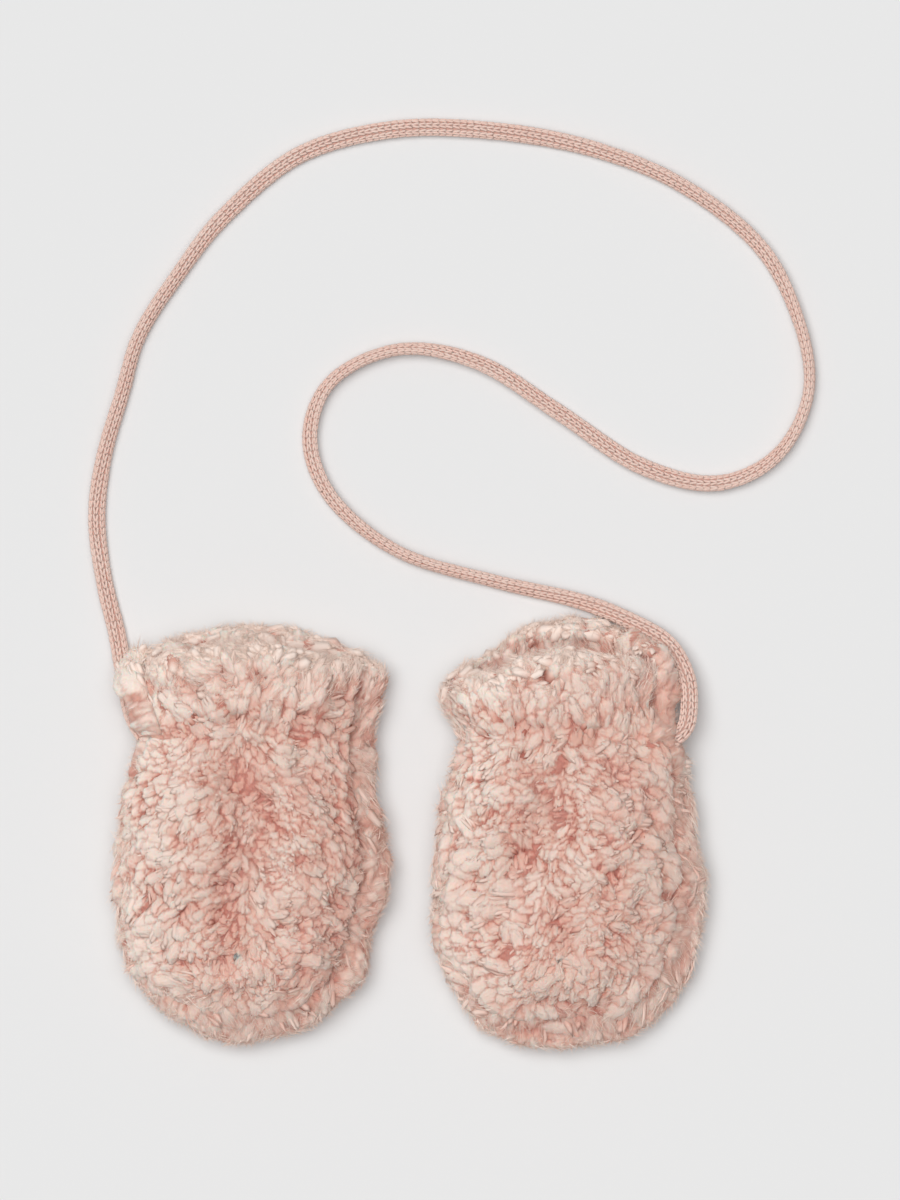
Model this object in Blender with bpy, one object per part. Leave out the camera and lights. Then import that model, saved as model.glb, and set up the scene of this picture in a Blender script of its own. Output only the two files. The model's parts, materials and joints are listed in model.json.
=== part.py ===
"""Pair of pile-fleece baby mittens on one knitted cord, laid flat with their mouths towards +Y.

Each mitten is an upper panel and an under panel, sewn together down both sides and round the
fingertip, and drawn in at the wrist by a band of elastic. The panels are walls as thick as the
cloth with its pile, so the mitten is hollow and its mouth is open. A thumbless mitten is a tube
that closes at one end. Both panels are lofted through ribs: a rib runs from the edge of the
mitten to a spine down its middle, straight across the cuff and the hand, and fanned out round
the fingertip. The tables are in millimetres, and metres() turns a point into Blender's units.
The y of a mitten's own tables is 0 at the wrist, above 0 in the cuff and below 0 in the hand.
"""

import math
from typing import NamedTuple

import bmesh
import bpy
from mathutils import Vector, noise

METRES_PER_MM = 0.001
SEAM_GAP = 0.3
WELD = 1e-6
FINE_STEPS = 24

CORD_DIAMETER = 4.8
CORD_POINT_SPACING = 10.0
CORD_BEVEL_RESOLUTION = 3

RIM_WIDTH = 5.5
HEM_ROUND = 3.5
UNDERSIDE_INSET = 7.0
FLOOR_INSET = 8.0
SIDE_POCKET = 3.5
WIDEST_SHARE = 0.62
ARCH_POWER = 2.4
OUTER_ARCH_POWER = 2.6
OUTER_ARCH_FALL = 0.8
EDGE_CROWDING = 0.08

CUFF_SPANS = 4
HAND_SPANS = 9
TIP_SPANS = 11
HEM_SPANS = 2
ARCH_SPANS = 11
LEDGE_SPANS = 2
SIDE_SPANS = 3
INNER_SIDE_SPANS = 4
FLAT_SPANS = 5
WRIST_ROW = 2
FAN_ROW = 8
FAN_START_Y = -30.0
POLE_Y = -64.0

LUMP_SIZE = 9.0
LUMP_HEIGHT = 1.8
LUMP_FADE = 0.16
SIDE_LUMP_SHARE = 0.7
UNDERSIDE_PINCH_SHARE = 0.25

ELASTIC_WIDTH = 6.0
ELASTIC_THICKNESS = 1.2
ELASTIC_CLEARANCE = 0.45
ELASTIC_SPANS = 10
ELASTIC_REACH = 0.8


class Edge(NamedTuple):
    """How far the mitten reaches to the left and to the right of its axis."""

    y: float
    left: float
    right: float


class Mouth(NamedTuple):
    """How far up each panel's hem reaches. across is -1 at the left edge and 1 at the right."""

    across: float
    upper: float
    under: float


class Level(NamedTuple):
    """Heights down the middle: the top, how far the underside is lifted, and the wall."""

    y: float
    crest: float
    lift: float
    wall: float


class Seam(NamedTuple):
    """The seam's distance in from the edge, and its height, down each side."""

    y: float
    left_inset: float
    left_height: float
    right_inset: float
    right_height: float


class Valley(NamedTuple):
    """The long soft trough down the back of the hand."""

    y: float
    x: float
    depth: float
    half_width: float


class Pit(NamedTuple):
    """A short dip in the pile."""

    x: float
    y: float
    depth: float
    radius: float


class Gather(NamedTuple):
    """A pinch that the elastic makes, running into the cuff and into the hand."""

    x: float
    depth: float
    half_width: float
    into_cuff: float
    into_hand: float


class Mitten(NamedTuple):
    """One mitten, with the place of its axis and of its wrist line."""

    name: str
    axis_x: float
    wrist_y: float
    left_corner: tuple
    right_corner: tuple
    edges: tuple
    tip: tuple
    seams: tuple
    mouth: tuple
    valley: tuple
    pits: tuple
    gathers: tuple


LEVELS = (
    Level(30, 23.5, 0.0, 7.0),
    Level(22, 25.0, 0.0, 7.0),
    Level(12, 25.0, 0.4, 6.6),
    Level(5, 23.2, 1.6, 5.6),
    Level(0, 22.9, 2.2, 5.2),
    Level(-6, 23.6, 1.2, 5.6),
    Level(-14, 26.0, 0.0, 6.4),
    Level(-30, 28.0, 0.0, 6.8),
    Level(-50, 27.5, 0.0, 6.8),
    Level(-66, 25.5, 0.0, 6.8),
)

LEFT_MITTEN = Mitten(
    name="left",
    axis_x=-48.1,
    wrist_y=28.5,
    left_corner=(-36.0, 22.5),
    right_corner=(41.0, 22.5),
    edges=(
        Edge(8, 32.3, 38.6),
        Edge(0, 29.3, 37.2),
        Edge(-6, 35.4, 37.0),
        Edge(-14, 39.2, 37.8),
        Edge(-24, 40.5, 40.6),
        Edge(-36, 41.0, 42.6),
        Edge(-48, 41.1, 40.6),
        Edge(-58, 40.2, 37.6),
        Edge(-67, 38.0, 35.8),
        Edge(-75, 34.2, 32.4),
        Edge(-82.5, 26.8, 25.0),
        Edge(-88.3, 18.0, 14.0),
    ),
    tip=(-5.0, -91.4),
    seams=(
        Seam(30, 2.0, 11.5, 7.5, 13.0),
        Seam(0, 2.0, 11.5, 7.2, 13.0),
        Seam(-12, 2.0, 11.0, 7.4, 14.0),
        Seam(-36, 2.0, 10.5, 9.2, 14.5),
        Seam(-60, 2.5, 11.0, 8.8, 14.0),
        Seam(-76, 5.0, 12.0, 9.0, 13.5),
        Seam(-91, 11.0, 13.0, 11.0, 13.0),
    ),
    mouth=(
        Mouth(-1.0, 22.5, 22.5),
        Mouth(-0.82, 24.5, 27.0),
        Mouth(-0.55, 27.5, 32.0),
        Mouth(-0.27, 29.2, 34.0),
        Mouth(0.0, 29.0, 32.4),
        Mouth(0.22, 28.0, 33.4),
        Mouth(0.5, 26.0, 30.0),
        Mouth(0.8, 23.0, 25.0),
        Mouth(1.0, 22.5, 22.5),
    ),
    valley=(
        Valley(2, -2.0, 0.0, 8.0),
        Valley(-9, -1.5, 4.6, 8.0),
        Valley(-20, 2.5, 6.3, 9.0),
        Valley(-35, 2.0, 6.0, 10.0),
        Valley(-52, -1.0, 4.5, 11.0),
        Valley(-66, -5.0, 2.6, 11.0),
        Valley(-78, -6.0, 0.0, 10.0),
    ),
    pits=(
        Pit(-1.4, -12.0, 2.6, 5.0),
        Pit(-18.0, 12.0, 1.4, 6.0),
        Pit(-6.5, 8.0, 1.6, 4.5),
        Pit(20.0, -30.0, -1.2, 9.0),
        Pit(-24.0, -38.0, -1.2, 9.0),
    ),
    gathers=(
        Gather(-26.0, 1.8, 3.0, 9.0, 6.0),
        Gather(-14.1, 2.3, 2.8, 14.0, 9.0),
        Gather(-4.6, 2.0, 2.6, 16.0, 7.0),
        Gather(5.0, 1.6, 2.6, 9.0, 12.0),
        Gather(14.4, 2.2, 2.8, 12.0, 8.0),
        Gather(24.0, 1.8, 3.0, 10.0, 7.0),
    ),
)

RIGHT_MITTEN = Mitten(
    name="right",
    axis_x=47.9,
    wrist_y=27.9,
    left_corner=(-40.6, 15.6),
    right_corner=(29.4, 23.5),
    edges=(
        Edge(7.5, 37.0, 28.4),
        Edge(0, 33.4, 27.0),
        Edge(-6, 34.8, 33.8),
        Edge(-14, 39.0, 36.3),
        Edge(-24, 40.3, 37.8),
        Edge(-36, 41.5, 40.6),
        Edge(-48, 42.1, 41.1),
        Edge(-58, 41.7, 39.9),
        Edge(-67, 39.0, 37.8),
        Edge(-75, 36.0, 34.4),
        Edge(-82.5, 31.6, 28.6),
        Edge(-88.8, 24.0, 18.6),
    ),
    tip=(-4.5, -92.8),
    seams=(
        Seam(30, 2.0, 11.5, 4.0, 13.0),
        Seam(0, 2.0, 11.5, 4.0, 13.0),
        Seam(-12, 2.0, 11.0, 6.8, 14.0),
        Seam(-36, 2.0, 10.5, 9.8, 14.5),
        Seam(-60, 2.5, 11.0, 11.0, 14.0),
        Seam(-76, 5.5, 12.0, 11.0, 13.5),
        Seam(-92, 11.5, 13.0, 11.5, 13.0),
    ),
    mouth=(
        Mouth(-1.0, 15.6, 15.6),
        Mouth(-0.86, 17.5, 21.0),
        Mouth(-0.64, 20.0, 27.0),
        Mouth(-0.4, 24.3, 33.0),
        Mouth(-0.15, 26.0, 36.6),
        Mouth(0.12, 26.3, 37.0),
        Mouth(0.4, 26.3, 34.0),
        Mouth(0.76, 24.5, 28.0),
        Mouth(1.0, 23.5, 23.5),
    ),
    valley=(
        Valley(2, -3.0, 0.0, 8.0),
        Valley(-10, -4.0, 4.0, 8.0),
        Valley(-20, -5.5, 6.0, 9.0),
        Valley(-31, -9.0, 6.2, 10.0),
        Valley(-42, -17.0, 5.4, 11.0),
        Valley(-53, -22.0, 3.4, 11.0),
        Valley(-64, -24.0, 0.0, 10.0),
    ),
    pits=(
        Pit(12.9, -8.4, 2.4, 4.5),
        Pit(-16.2, -34.5, 2.0, 4.5),
        Pit(-27.6, -43.0, 1.8, 4.5),
        Pit(-12.0, 9.0, 1.6, 5.0),
        Pit(18.0, -34.0, -1.2, 10.0),
        Pit(2.0, -58.0, -1.0, 10.0),
    ),
    gathers=(
        Gather(-26.0, 1.8, 3.0, 8.0, 6.0),
        Gather(-14.1, 2.4, 2.8, 13.0, 8.0),
        Gather(-4.0, 1.7, 2.6, 10.0, 9.0),
        Gather(6.0, 2.0, 2.6, 12.0, 7.0),
        Gather(17.0, 2.0, 2.8, 10.0, 9.0),
    ),
)

# The cord lies on the surface and climbs to the side seams at both ends. Each point is x, y and
# the height of the cord's middle, from the left mitten's wrist to the right mitten's.
CORD_ROUTE = (
    (-80.2, 29.4, 10.4),
    (-83.1, 33.9, 9.0),
    (-84.9, 39.0, 7.0),
    (-86.0, 45.0, 4.8),
    (-87.3, 51.5, 3.2),
    (-89.0, 61.0, 2.5),
    (-93.0, 78.0, 2.5),
    (-94.9, 96.0, 2.5),
    (-92.6, 114.0, 2.5),
    (-87.4, 132.0, 2.5),
    (-82.0, 150.0, 2.5),
    (-70.6, 168.0, 2.5),
    (-56.4, 186.0, 2.5),
    (-33.8, 204.3, 2.5),
    (-5.0, 212.0, 2.5),
    (26.2, 211.3, 2.5),
    (55.0, 205.8, 2.5),
    (81.1, 195.0, 2.5),
    (104.1, 177.0, 2.5),
    (115.8, 155.0, 2.5),
    (119.0, 133.0, 2.5),
    (109.5, 114.0, 2.5),
    (91.0, 105.6, 2.5),
    (68.2, 111.0, 2.5),
    (44.2, 126.7, 2.5),
    (20.2, 141.7, 2.5),
    (-3.8, 145.8, 2.5),
    (-24.1, 136.5, 2.5),
    (-30.9, 119.0, 2.5),
    (-23.8, 100.5, 2.5),
    (-3.8, 84.8, 2.5),
    (24.0, 76.3, 2.5),
    (50.0, 70.2, 2.8),
    (66.0, 63.9, 4.2),
    (76.4, 57.6, 6.2),
    (81.9, 48.5, 8.2),
    (83.0, 39.5, 10.0),
    (81.6, 32.0, 11.6),
    (76.3, 27.8, 12.6),
)


def metres(point):
    return Vector(point) * METRES_PER_MM


def smooth_row(rows, at):
    """Reads every column of a table at a value of its first, on one smooth curve per column."""
    rows = sorted(rows)
    at = min(max(at, rows[0][0]), rows[-1][0])
    index = max(i for i in range(len(rows) - 1) if rows[i][0] <= at)
    low, high = rows[index], rows[index + 1]
    before, after = rows[max(index - 1, 0)], rows[min(index + 2, len(rows) - 1)]
    span = high[0] - low[0]
    t = (at - low[0]) / span
    values = [at]
    for column in range(1, len(low)):
        slope_in = (high[column] - before[column]) / (high[0] - before[0]) * span
        slope_out = (after[column] - low[column]) / (after[0] - low[0]) * span
        values.append(
            (2 * t**3 - 3 * t**2 + 1) * low[column]
            + (t**3 - 2 * t**2 + t) * slope_in
            + (3 * t**2 - 2 * t**3) * high[column]
            + (t**3 - t**2) * slope_out
        )
    return type(low)(*values)


def path_point(points, at):
    """The point at index at, which may be a fraction, on a smooth curve through the points."""
    index = min(max(int(at), 0), len(points) - 2)
    t = at - index
    p1, p2 = points[index], points[index + 1]
    p0 = points[index - 1] if index else p1 * 2 - p2
    p3 = points[index + 2] if index + 2 < len(points) else p2 * 2 - p1
    return (
        p1 * 2 + (p2 - p0) * t + (p0 * 2 - p1 * 5 + p2 * 4 - p3) * t**2 + (p1 * 3 - p0 - p2 * 3 + p3) * t**3
    ) / 2


def even_points(points, first, last, spans):
    """Points spaced evenly along that smooth curve, from index first to index last."""
    steps = FINE_STEPS * max(1, round(abs(last - first)))
    fine = [path_point(points, first + (last - first) * i / steps) for i in range(steps + 1)]
    travelled = [0.0]
    for a, b in zip(fine, fine[1:]):
        travelled.append(travelled[-1] + (b - a).length)
    found = []
    for number in range(spans + 1):
        goal = travelled[-1] * number / spans
        index = min(max(i for i in range(steps + 1) if travelled[i] <= goal + 1e-9), steps - 1)
        part = (goal - travelled[index]) / (travelled[index + 1] - travelled[index])
        found.append(fine[index].lerp(fine[index + 1], min(part, 1.0)))
    return found


def bump(distance, width):
    return math.exp(-((distance / width) ** 2))


class Rib(NamedTuple):
    """A left and a right edge point, the spine point between them, and how far up the cuff."""

    left: Vector
    right: Vector
    spine: Vector
    cuff: float


def ribs_of(mitten):
    """The ribs from the mouth to the fingertip."""
    left = [Vector(mitten.left_corner)] + [Vector((-e.left, e.y)) for e in mitten.edges]
    right = [Vector(mitten.right_corner)] + [Vector((e.right, e.y)) for e in mitten.edges]
    tip = Vector(mitten.tip)
    tip_index = len(left)
    left_path = left + [tip] + right[::-1]
    right_path = right + [tip] + left[::-1]
    ranges = (
        (0, WRIST_ROW, CUFF_SPANS),
        (WRIST_ROW, FAN_ROW, HAND_SPANS),
        (FAN_ROW, tip_index, TIP_SPANS),
    )
    sides = []
    for path in (left_path, right_path):
        found = []
        for first, last, spans in ranges:
            found += even_points(path, first, last, spans)[bool(found):]
        sides.append(found)
    ribs = []
    for index, (a, b) in enumerate(zip(*sides)):
        y = (a.y + b.y) / 2
        if y < FAN_START_Y:
            turn = (y - FAN_START_Y) / (tip.y - FAN_START_Y)
            y = FAN_START_Y + (POLE_Y - FAN_START_Y) * math.sin(turn * math.pi / 2)
        cuff = max(0.0, 1 - index / CUFF_SPANS)
        ribs.append(Rib(a, b, Vector(((a.x + b.x) / 2, y)), cuff))
    ribs[-1] = ribs[-1]._replace(left=tip, right=tip)
    return ribs


class Shape:
    """The surfaces of one mitten, as points across each rib."""

    def __init__(self, mitten):
        self.mitten = mitten
        self.ribs = ribs_of(mitten)

    def level(self, rib):
        y = rib.spine.y if rib.cuff == 0 else rib.cuff * LEVELS[0].y
        row = smooth_row(LEVELS, y)
        return row._replace(lift=max(row.lift, 0.0))

    def seam(self, rib, side):
        """(distance in from the edge, height) of the seam at one end of the rib."""
        row = smooth_row(self.mitten.seams, (rib.left if side < 0 else rib.right).y)
        return (row.left_inset, row.left_height) if side < 0 else (row.right_inset, row.right_height)

    def plan(self, rib, side, inset, share, panel):
        """The place that is inset from the edge, then share of the way from there to the spine."""
        edge = rib.left if side < 0 else rib.right
        start = edge + (rib.spine - edge).normalized() * inset
        point = start.lerp(rib.spine, share)
        if rib.cuff > 0:
            across = min(max(point.x / abs(edge.x), -1.0), 1.0)
            hem = getattr(smooth_row(self.mitten.mouth, across), panel)
            point.y = rib.cuff * (hem - HEM_ROUND)
        return point

    def sag(self, point):
        """How far the cloth of the upper panel sags at a place."""
        row = smooth_row(self.mitten.valley, point.y)
        return row.depth * bump(point.x - row.x, row.half_width)

    def pinch(self, point):
        """How deep the gathers and pits are at a place, outside only."""
        depth = sum(p.depth * bump(math.dist((p.x, p.y), point), p.radius) for p in self.mitten.pits)
        for gather in self.mitten.gathers:
            reach = gather.into_cuff if point.y > 0 else gather.into_hand
            depth += gather.depth * bump(point.x - gather.x, gather.half_width) * bump(point.y, reach)
        return depth

    def lump(self, x, y, z):
        """The clumps of the pile, as a small smooth height above or below the plain surface."""
        place = Vector((x + self.mitten.axis_x, y, z)) / LUMP_SIZE
        return LUMP_HEIGHT * noise.noise(place)

    def upper(self, rib, outer):
        """The upper panel's points across one rib, from the left seam to the right seam."""
        level = self.level(rib)
        top = level.crest if outer else level.crest - level.wall
        points = []
        for number in range(-ARCH_SPANS, ARCH_SPANS + 1):
            side = -1 if number < 0 else 1
            share = abs(number) / ARCH_SPANS
            reach = share + EDGE_CROWDING * math.sin(math.pi * share)
            inset, height = self.seam(rib, side)
            place = self.plan(rib, side, inset if outer else inset + RIM_WIDTH, 1 - reach, "upper")
            if outer:
                arch = max(0.0, 1 - reach**OUTER_ARCH_POWER) ** OUTER_ARCH_FALL
            else:
                arch = math.sqrt(max(0.0, 1 - reach**ARCH_POWER))
            z = height + (top - height - self.sag(place)) * arch
            if outer:
                fade = min(1.0, (1 - reach) / LUMP_FADE)
                z += (self.lump(place.x, place.y, z) - self.pinch(place)) * fade * arch
            points.append((place.x, place.y, z + SEAM_GAP / 2))
        return points

    def under_side(self, rib, side, outer):
        """The under panel's points from the seam down to the spine, on one side."""
        level = self.level(rib)
        inset, height = self.seam(rib, side)
        height -= SEAM_GAP / 2
        widest = level.lift + WIDEST_SHARE * (height - level.lift)
        rows = []
        if outer:
            for number in range(LEDGE_SPANS + 1):
                turn = math.pi / 2 * number / LEDGE_SPANS
                rows.append((inset * (1 - math.sin(turn)), widest + (height - widest) * math.cos(turn)))
            for number in range(1, SIDE_SPANS + 1):
                turn = math.pi / 2 * number / SIDE_SPANS
                rows.append((
                    UNDERSIDE_INSET * (1 - math.cos(turn)),
                    widest - (widest - level.lift) * math.sin(turn),
                ))
        else:
            floor = level.lift + level.wall
            for number in range(INNER_SIDE_SPANS + 1):
                turn = math.pi / 2 * number / INNER_SIDE_SPANS
                pocket = SIDE_POCKET * (inset / RIM_WIDTH) * math.sin(2 * turn) / 2
                rows.append((
                    inset + RIM_WIDTH + FLOOR_INSET * (1 - math.cos(turn)) - pocket,
                    height - (height - floor) * math.sin(turn),
                ))
        points = []
        for number, (from_edge, z) in enumerate(rows):
            place = self.plan(rib, side, from_edge, 0, "under")
            if outer and 0 < number < len(rows) - 1:
                lump = self.lump(place.x, place.y, z)
                place = self.plan(rib, side, from_edge - SIDE_LUMP_SHARE * lump, 0, "under")
            points.append((place.x, place.y, z))
        last_inset, last_z = rows[-1]
        flat = LEDGE_SPANS + SIDE_SPANS + FLAT_SPANS - len(rows) + 1
        for number in range(1, flat + 1):
            place = self.plan(rib, side, last_inset, number / flat, "under")
            z = last_z
            if outer and level.lift > 0:
                z += min(level.lift, 1.0) * UNDERSIDE_PINCH_SHARE * self.pinch(place)
            points.append((place.x, place.y, z))
        return points

    def under(self, rib, outer):
        """The under panel's points across one rib, from the left seam to the right seam."""
        left = self.under_side(rib, -1, outer)
        right = self.under_side(rib, 1, outer)
        return left + right[-2::-1]


def wall_rings(outside, inside):
    """Closed rings round a wall, with the hem's rounded fold before the first of them."""
    rings = []
    for number in range(HEM_SPANS, 0, -1):
        turn = math.pi / 2 * number / HEM_SPANS
        ring_out, ring_in = [], []
        for out, inn in zip(outside[0], inside[0]):
            out, inn = Vector(out), Vector(inn)
            middle = (out + inn) / 2 + Vector((0, HEM_ROUND * math.sin(turn), 0))
            half = (out - inn) / 2 * math.cos(turn)
            ring_out.append(middle + half)
            ring_in.append(middle - half)
        rings.append(ring_out + ring_in[::-1])
    for out, inn in zip(outside, inside):
        rings.append([Vector(p) for p in out] + [Vector(p) for p in inn][::-1])
    return rings


def loft(name, rings, offset, material):
    """One closed body through rings whose ends fold shut, made by bridging each pair of rings."""
    mesh = bmesh.new()
    loops = [[mesh.verts.new(metres(p + offset)) for p in ring] for ring in rings]
    for first, second in zip(loops, loops[1:]):
        for index in range(len(first)):
            after = (index + 1) % len(first)
            mesh.faces.new((first[index], first[after], second[after], second[index]))
    bmesh.ops.remove_doubles(mesh, verts=mesh.verts, dist=WELD)
    bmesh.ops.dissolve_degenerate(mesh, edges=mesh.edges, dist=WELD)
    bmesh.ops.recalc_face_normals(mesh, faces=mesh.faces)
    data = bpy.data.meshes.new(name)
    mesh.to_mesh(data)
    mesh.free()
    return place_object(name, data, material)


def place_object(name, data, material):
    obj = bpy.data.objects.new(name, data)
    obj.data.materials.append(material)
    bpy.context.scene.collection.objects.link(obj)
    if isinstance(data, bpy.types.Mesh):
        data.shade_smooth()
        data.set_sharp_from_angle(angle=math.radians(60))
    return obj


def finish(name, colour, roughness, sheen):
    """A cloth material: colour is linear red, green and blue."""
    material = bpy.data.materials.new(name)
    material.use_nodes = True
    shader = material.node_tree.nodes["Principled BSDF"]
    shader.inputs["Base Color"].default_value = (*colour, 1)
    shader.inputs["Roughness"].default_value = roughness
    shader.inputs["Metallic"].default_value = 0
    shader.inputs["Sheen Weight"].default_value = sheen
    return material


def build_mitten(mitten):
    """The two panels and the elastic of one mitten."""
    shape = Shape(mitten)
    offset = Vector((mitten.axis_x, mitten.wrist_y, 0))
    for panel, points in (("upper", shape.upper), ("under", shape.under)):
        outside = [points(rib, True) for rib in shape.ribs]
        inside = [points(rib, False) for rib in shape.ribs]
        name = f"{mitten.name}_{panel}_panel"
        loft(name, wall_rings(outside, inside), offset, finish(name, (0.84, 0.55, 0.47), 0.95, 0.4))
    build_elastic(shape, offset)


def height_at(points, x):
    """The height of a row of points at x, which runs from the left to the right."""
    for a, b in zip(points, points[1:]):
        if a[0] <= x <= b[0]:
            return a[2] + (b[2] - a[2]) * (x - a[0]) / (b[0] - a[0])
    return points[0][2]


def height_between(rows, share, x):
    """The height at x on the flat faces between two rows of points."""
    first, second = (height_at(row, x) for row in rows)
    return first + (second - first) * share


def build_elastic(shape, offset):
    """A band inside the wrist, just clear of both panels."""
    wrist = shape.ribs[CUFF_SPANS]
    top = shape.upper(wrist, False)
    left = top[0][0] * ELASTIC_REACH
    right = top[-1][0] * ELASTIC_REACH
    rings = []
    for step, inner in ((1, 0), (0, 0), (-1, 0), (-1, 1), (0, 1), (1, 1)):
        beside = shape.ribs[CUFF_SPANS + step]
        y = -step * ELASTIC_WIDTH / 2
        share = abs(y / beside.spine.y) if step else 0.0
        ceiling = [shape.upper(rib, False) for rib in (wrist, beside)]
        floor = [shape.under(rib, False) for rib in (wrist, beside)]
        rise = ELASTIC_CLEARANCE + inner * ELASTIC_THICKNESS
        low, high = left + inner * ELASTIC_THICKNESS, right - inner * ELASTIC_THICKNESS
        across = [low + (high - low) * i / ELASTIC_SPANS for i in range(ELASTIC_SPANS + 1)]
        above = [Vector((x, y, height_between(ceiling, share, x) - rise)) for x in across]
        below = [Vector((x, y, height_between(floor, share, x) + rise)) for x in across]
        rings.append(above + below[::-1])
    name = f"{shape.mitten.name}_wrist_elastic"
    colour = finish(name, (0.82, 0.66, 0.6), 0.8, 0.1)
    loft(name, rings + rings[:1], offset, colour)


def build_cord():
    """The knitted cord, as a plain tube along its route."""
    route = [Vector(p) for p in CORD_ROUTE]
    length = sum((b - a).length for a, b in zip(route, route[1:]))
    points = even_points(route, 0, len(route) - 1, round(length / CORD_POINT_SPACING))
    curve = bpy.data.curves.new("neck_cord", "CURVE")
    curve.dimensions = "3D"
    curve.bevel_depth = CORD_DIAMETER / 2 * METRES_PER_MM
    curve.bevel_resolution = CORD_BEVEL_RESOLUTION
    curve.use_fill_caps = True
    spline = curve.splines.new("POLY")
    spline.points.add(len(points) - 1)
    for target, point in zip(spline.points, points):
        target.co = (*metres(point), 1)
    place_object("neck_cord", curve, finish("neck_cord", (0.75, 0.42, 0.36), 0.85, 0.2))


for leftover in list(bpy.data.objects):
    bpy.data.objects.remove(leftover, do_unlink=True)
build_mitten(LEFT_MITTEN)
build_mitten(RIGHT_MITTEN)
build_cord()
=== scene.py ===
"""Looks of a pair of pile-fleece baby mittens on one knitted cord, laid flat on a pale floor.

Each fleece panel is a backing with a pile of locks on it. The backing is a smoothed, finely cut
copy of the panel's solid that takes the form of every tuft of the pile, and the locks and hairs
are rooted in it. The cord is a flattened tube of knitted stitches along its route. Lengths are in
metres, and a value that is easier to read in millimetres is written as a number times MM. All
chance is seeded, so that every run makes the same mittens.
"""

from __future__ import annotations

import json
import logging
import math
from dataclasses import dataclass, field
from enum import Enum

import bmesh
import bpy
import numpy as np
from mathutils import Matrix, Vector, noise
from mathutils.bvhtree import BVHTree
from mathutils.kdtree import KDTree

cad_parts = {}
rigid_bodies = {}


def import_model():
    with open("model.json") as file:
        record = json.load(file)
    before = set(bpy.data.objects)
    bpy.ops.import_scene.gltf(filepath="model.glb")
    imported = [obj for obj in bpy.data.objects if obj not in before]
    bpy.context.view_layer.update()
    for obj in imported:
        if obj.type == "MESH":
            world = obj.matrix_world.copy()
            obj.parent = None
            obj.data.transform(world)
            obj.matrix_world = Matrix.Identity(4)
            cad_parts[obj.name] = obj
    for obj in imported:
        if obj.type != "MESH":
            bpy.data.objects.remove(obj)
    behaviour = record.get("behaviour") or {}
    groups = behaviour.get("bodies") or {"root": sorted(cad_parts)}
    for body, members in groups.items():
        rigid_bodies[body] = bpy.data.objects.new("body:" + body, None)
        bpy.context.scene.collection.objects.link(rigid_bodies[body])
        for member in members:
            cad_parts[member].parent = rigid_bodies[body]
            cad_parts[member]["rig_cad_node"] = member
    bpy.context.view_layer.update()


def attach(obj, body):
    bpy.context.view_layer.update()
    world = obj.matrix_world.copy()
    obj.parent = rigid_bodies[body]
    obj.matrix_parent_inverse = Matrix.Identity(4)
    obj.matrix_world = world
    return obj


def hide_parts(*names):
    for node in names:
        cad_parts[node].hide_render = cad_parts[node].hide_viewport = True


LOG = logging.getLogger("mittens")
MM = 0.001
FLOOR_CLEARANCE = 0.15 * MM
UP = np.array((0.0, 0.0, 1.0))
NOISE_SEED = 1795843460
DRY_SPECULAR = 0.05

Colour = tuple[float, float, float]


class Side(Enum):
    """Which side of a mitten a panel is."""

    UPPER = "upper"
    UNDER = "under"


def unit(rows: np.ndarray) -> np.ndarray:
    """Scales vectors to length one.

    Args:
        rows: Vectors, along the last axis.

    Returns:
        The unit vectors, in an array of the same shape.
    """
    return rows / np.maximum(np.linalg.norm(rows, axis=-1, keepdims=True), 1e-12)


# Shader pieces


def opaque(colour: object) -> object:
    """Gives three colour numbers their alpha.

    Args:
        colour: Three numbers, or a socket.

    Returns:
        Four numbers, or the socket as it was.
    """
    return (*colour, 1.0) if isinstance(colour, tuple) else colour


def set_inputs(node: bpy.types.Node, values: dict[str, object]) -> None:
    """Sets plain values of a node.

    Args:
        node: The node.
        values: Its values by input name.
    """
    for name, value in values.items():
        node.inputs[name].default_value = value


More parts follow.
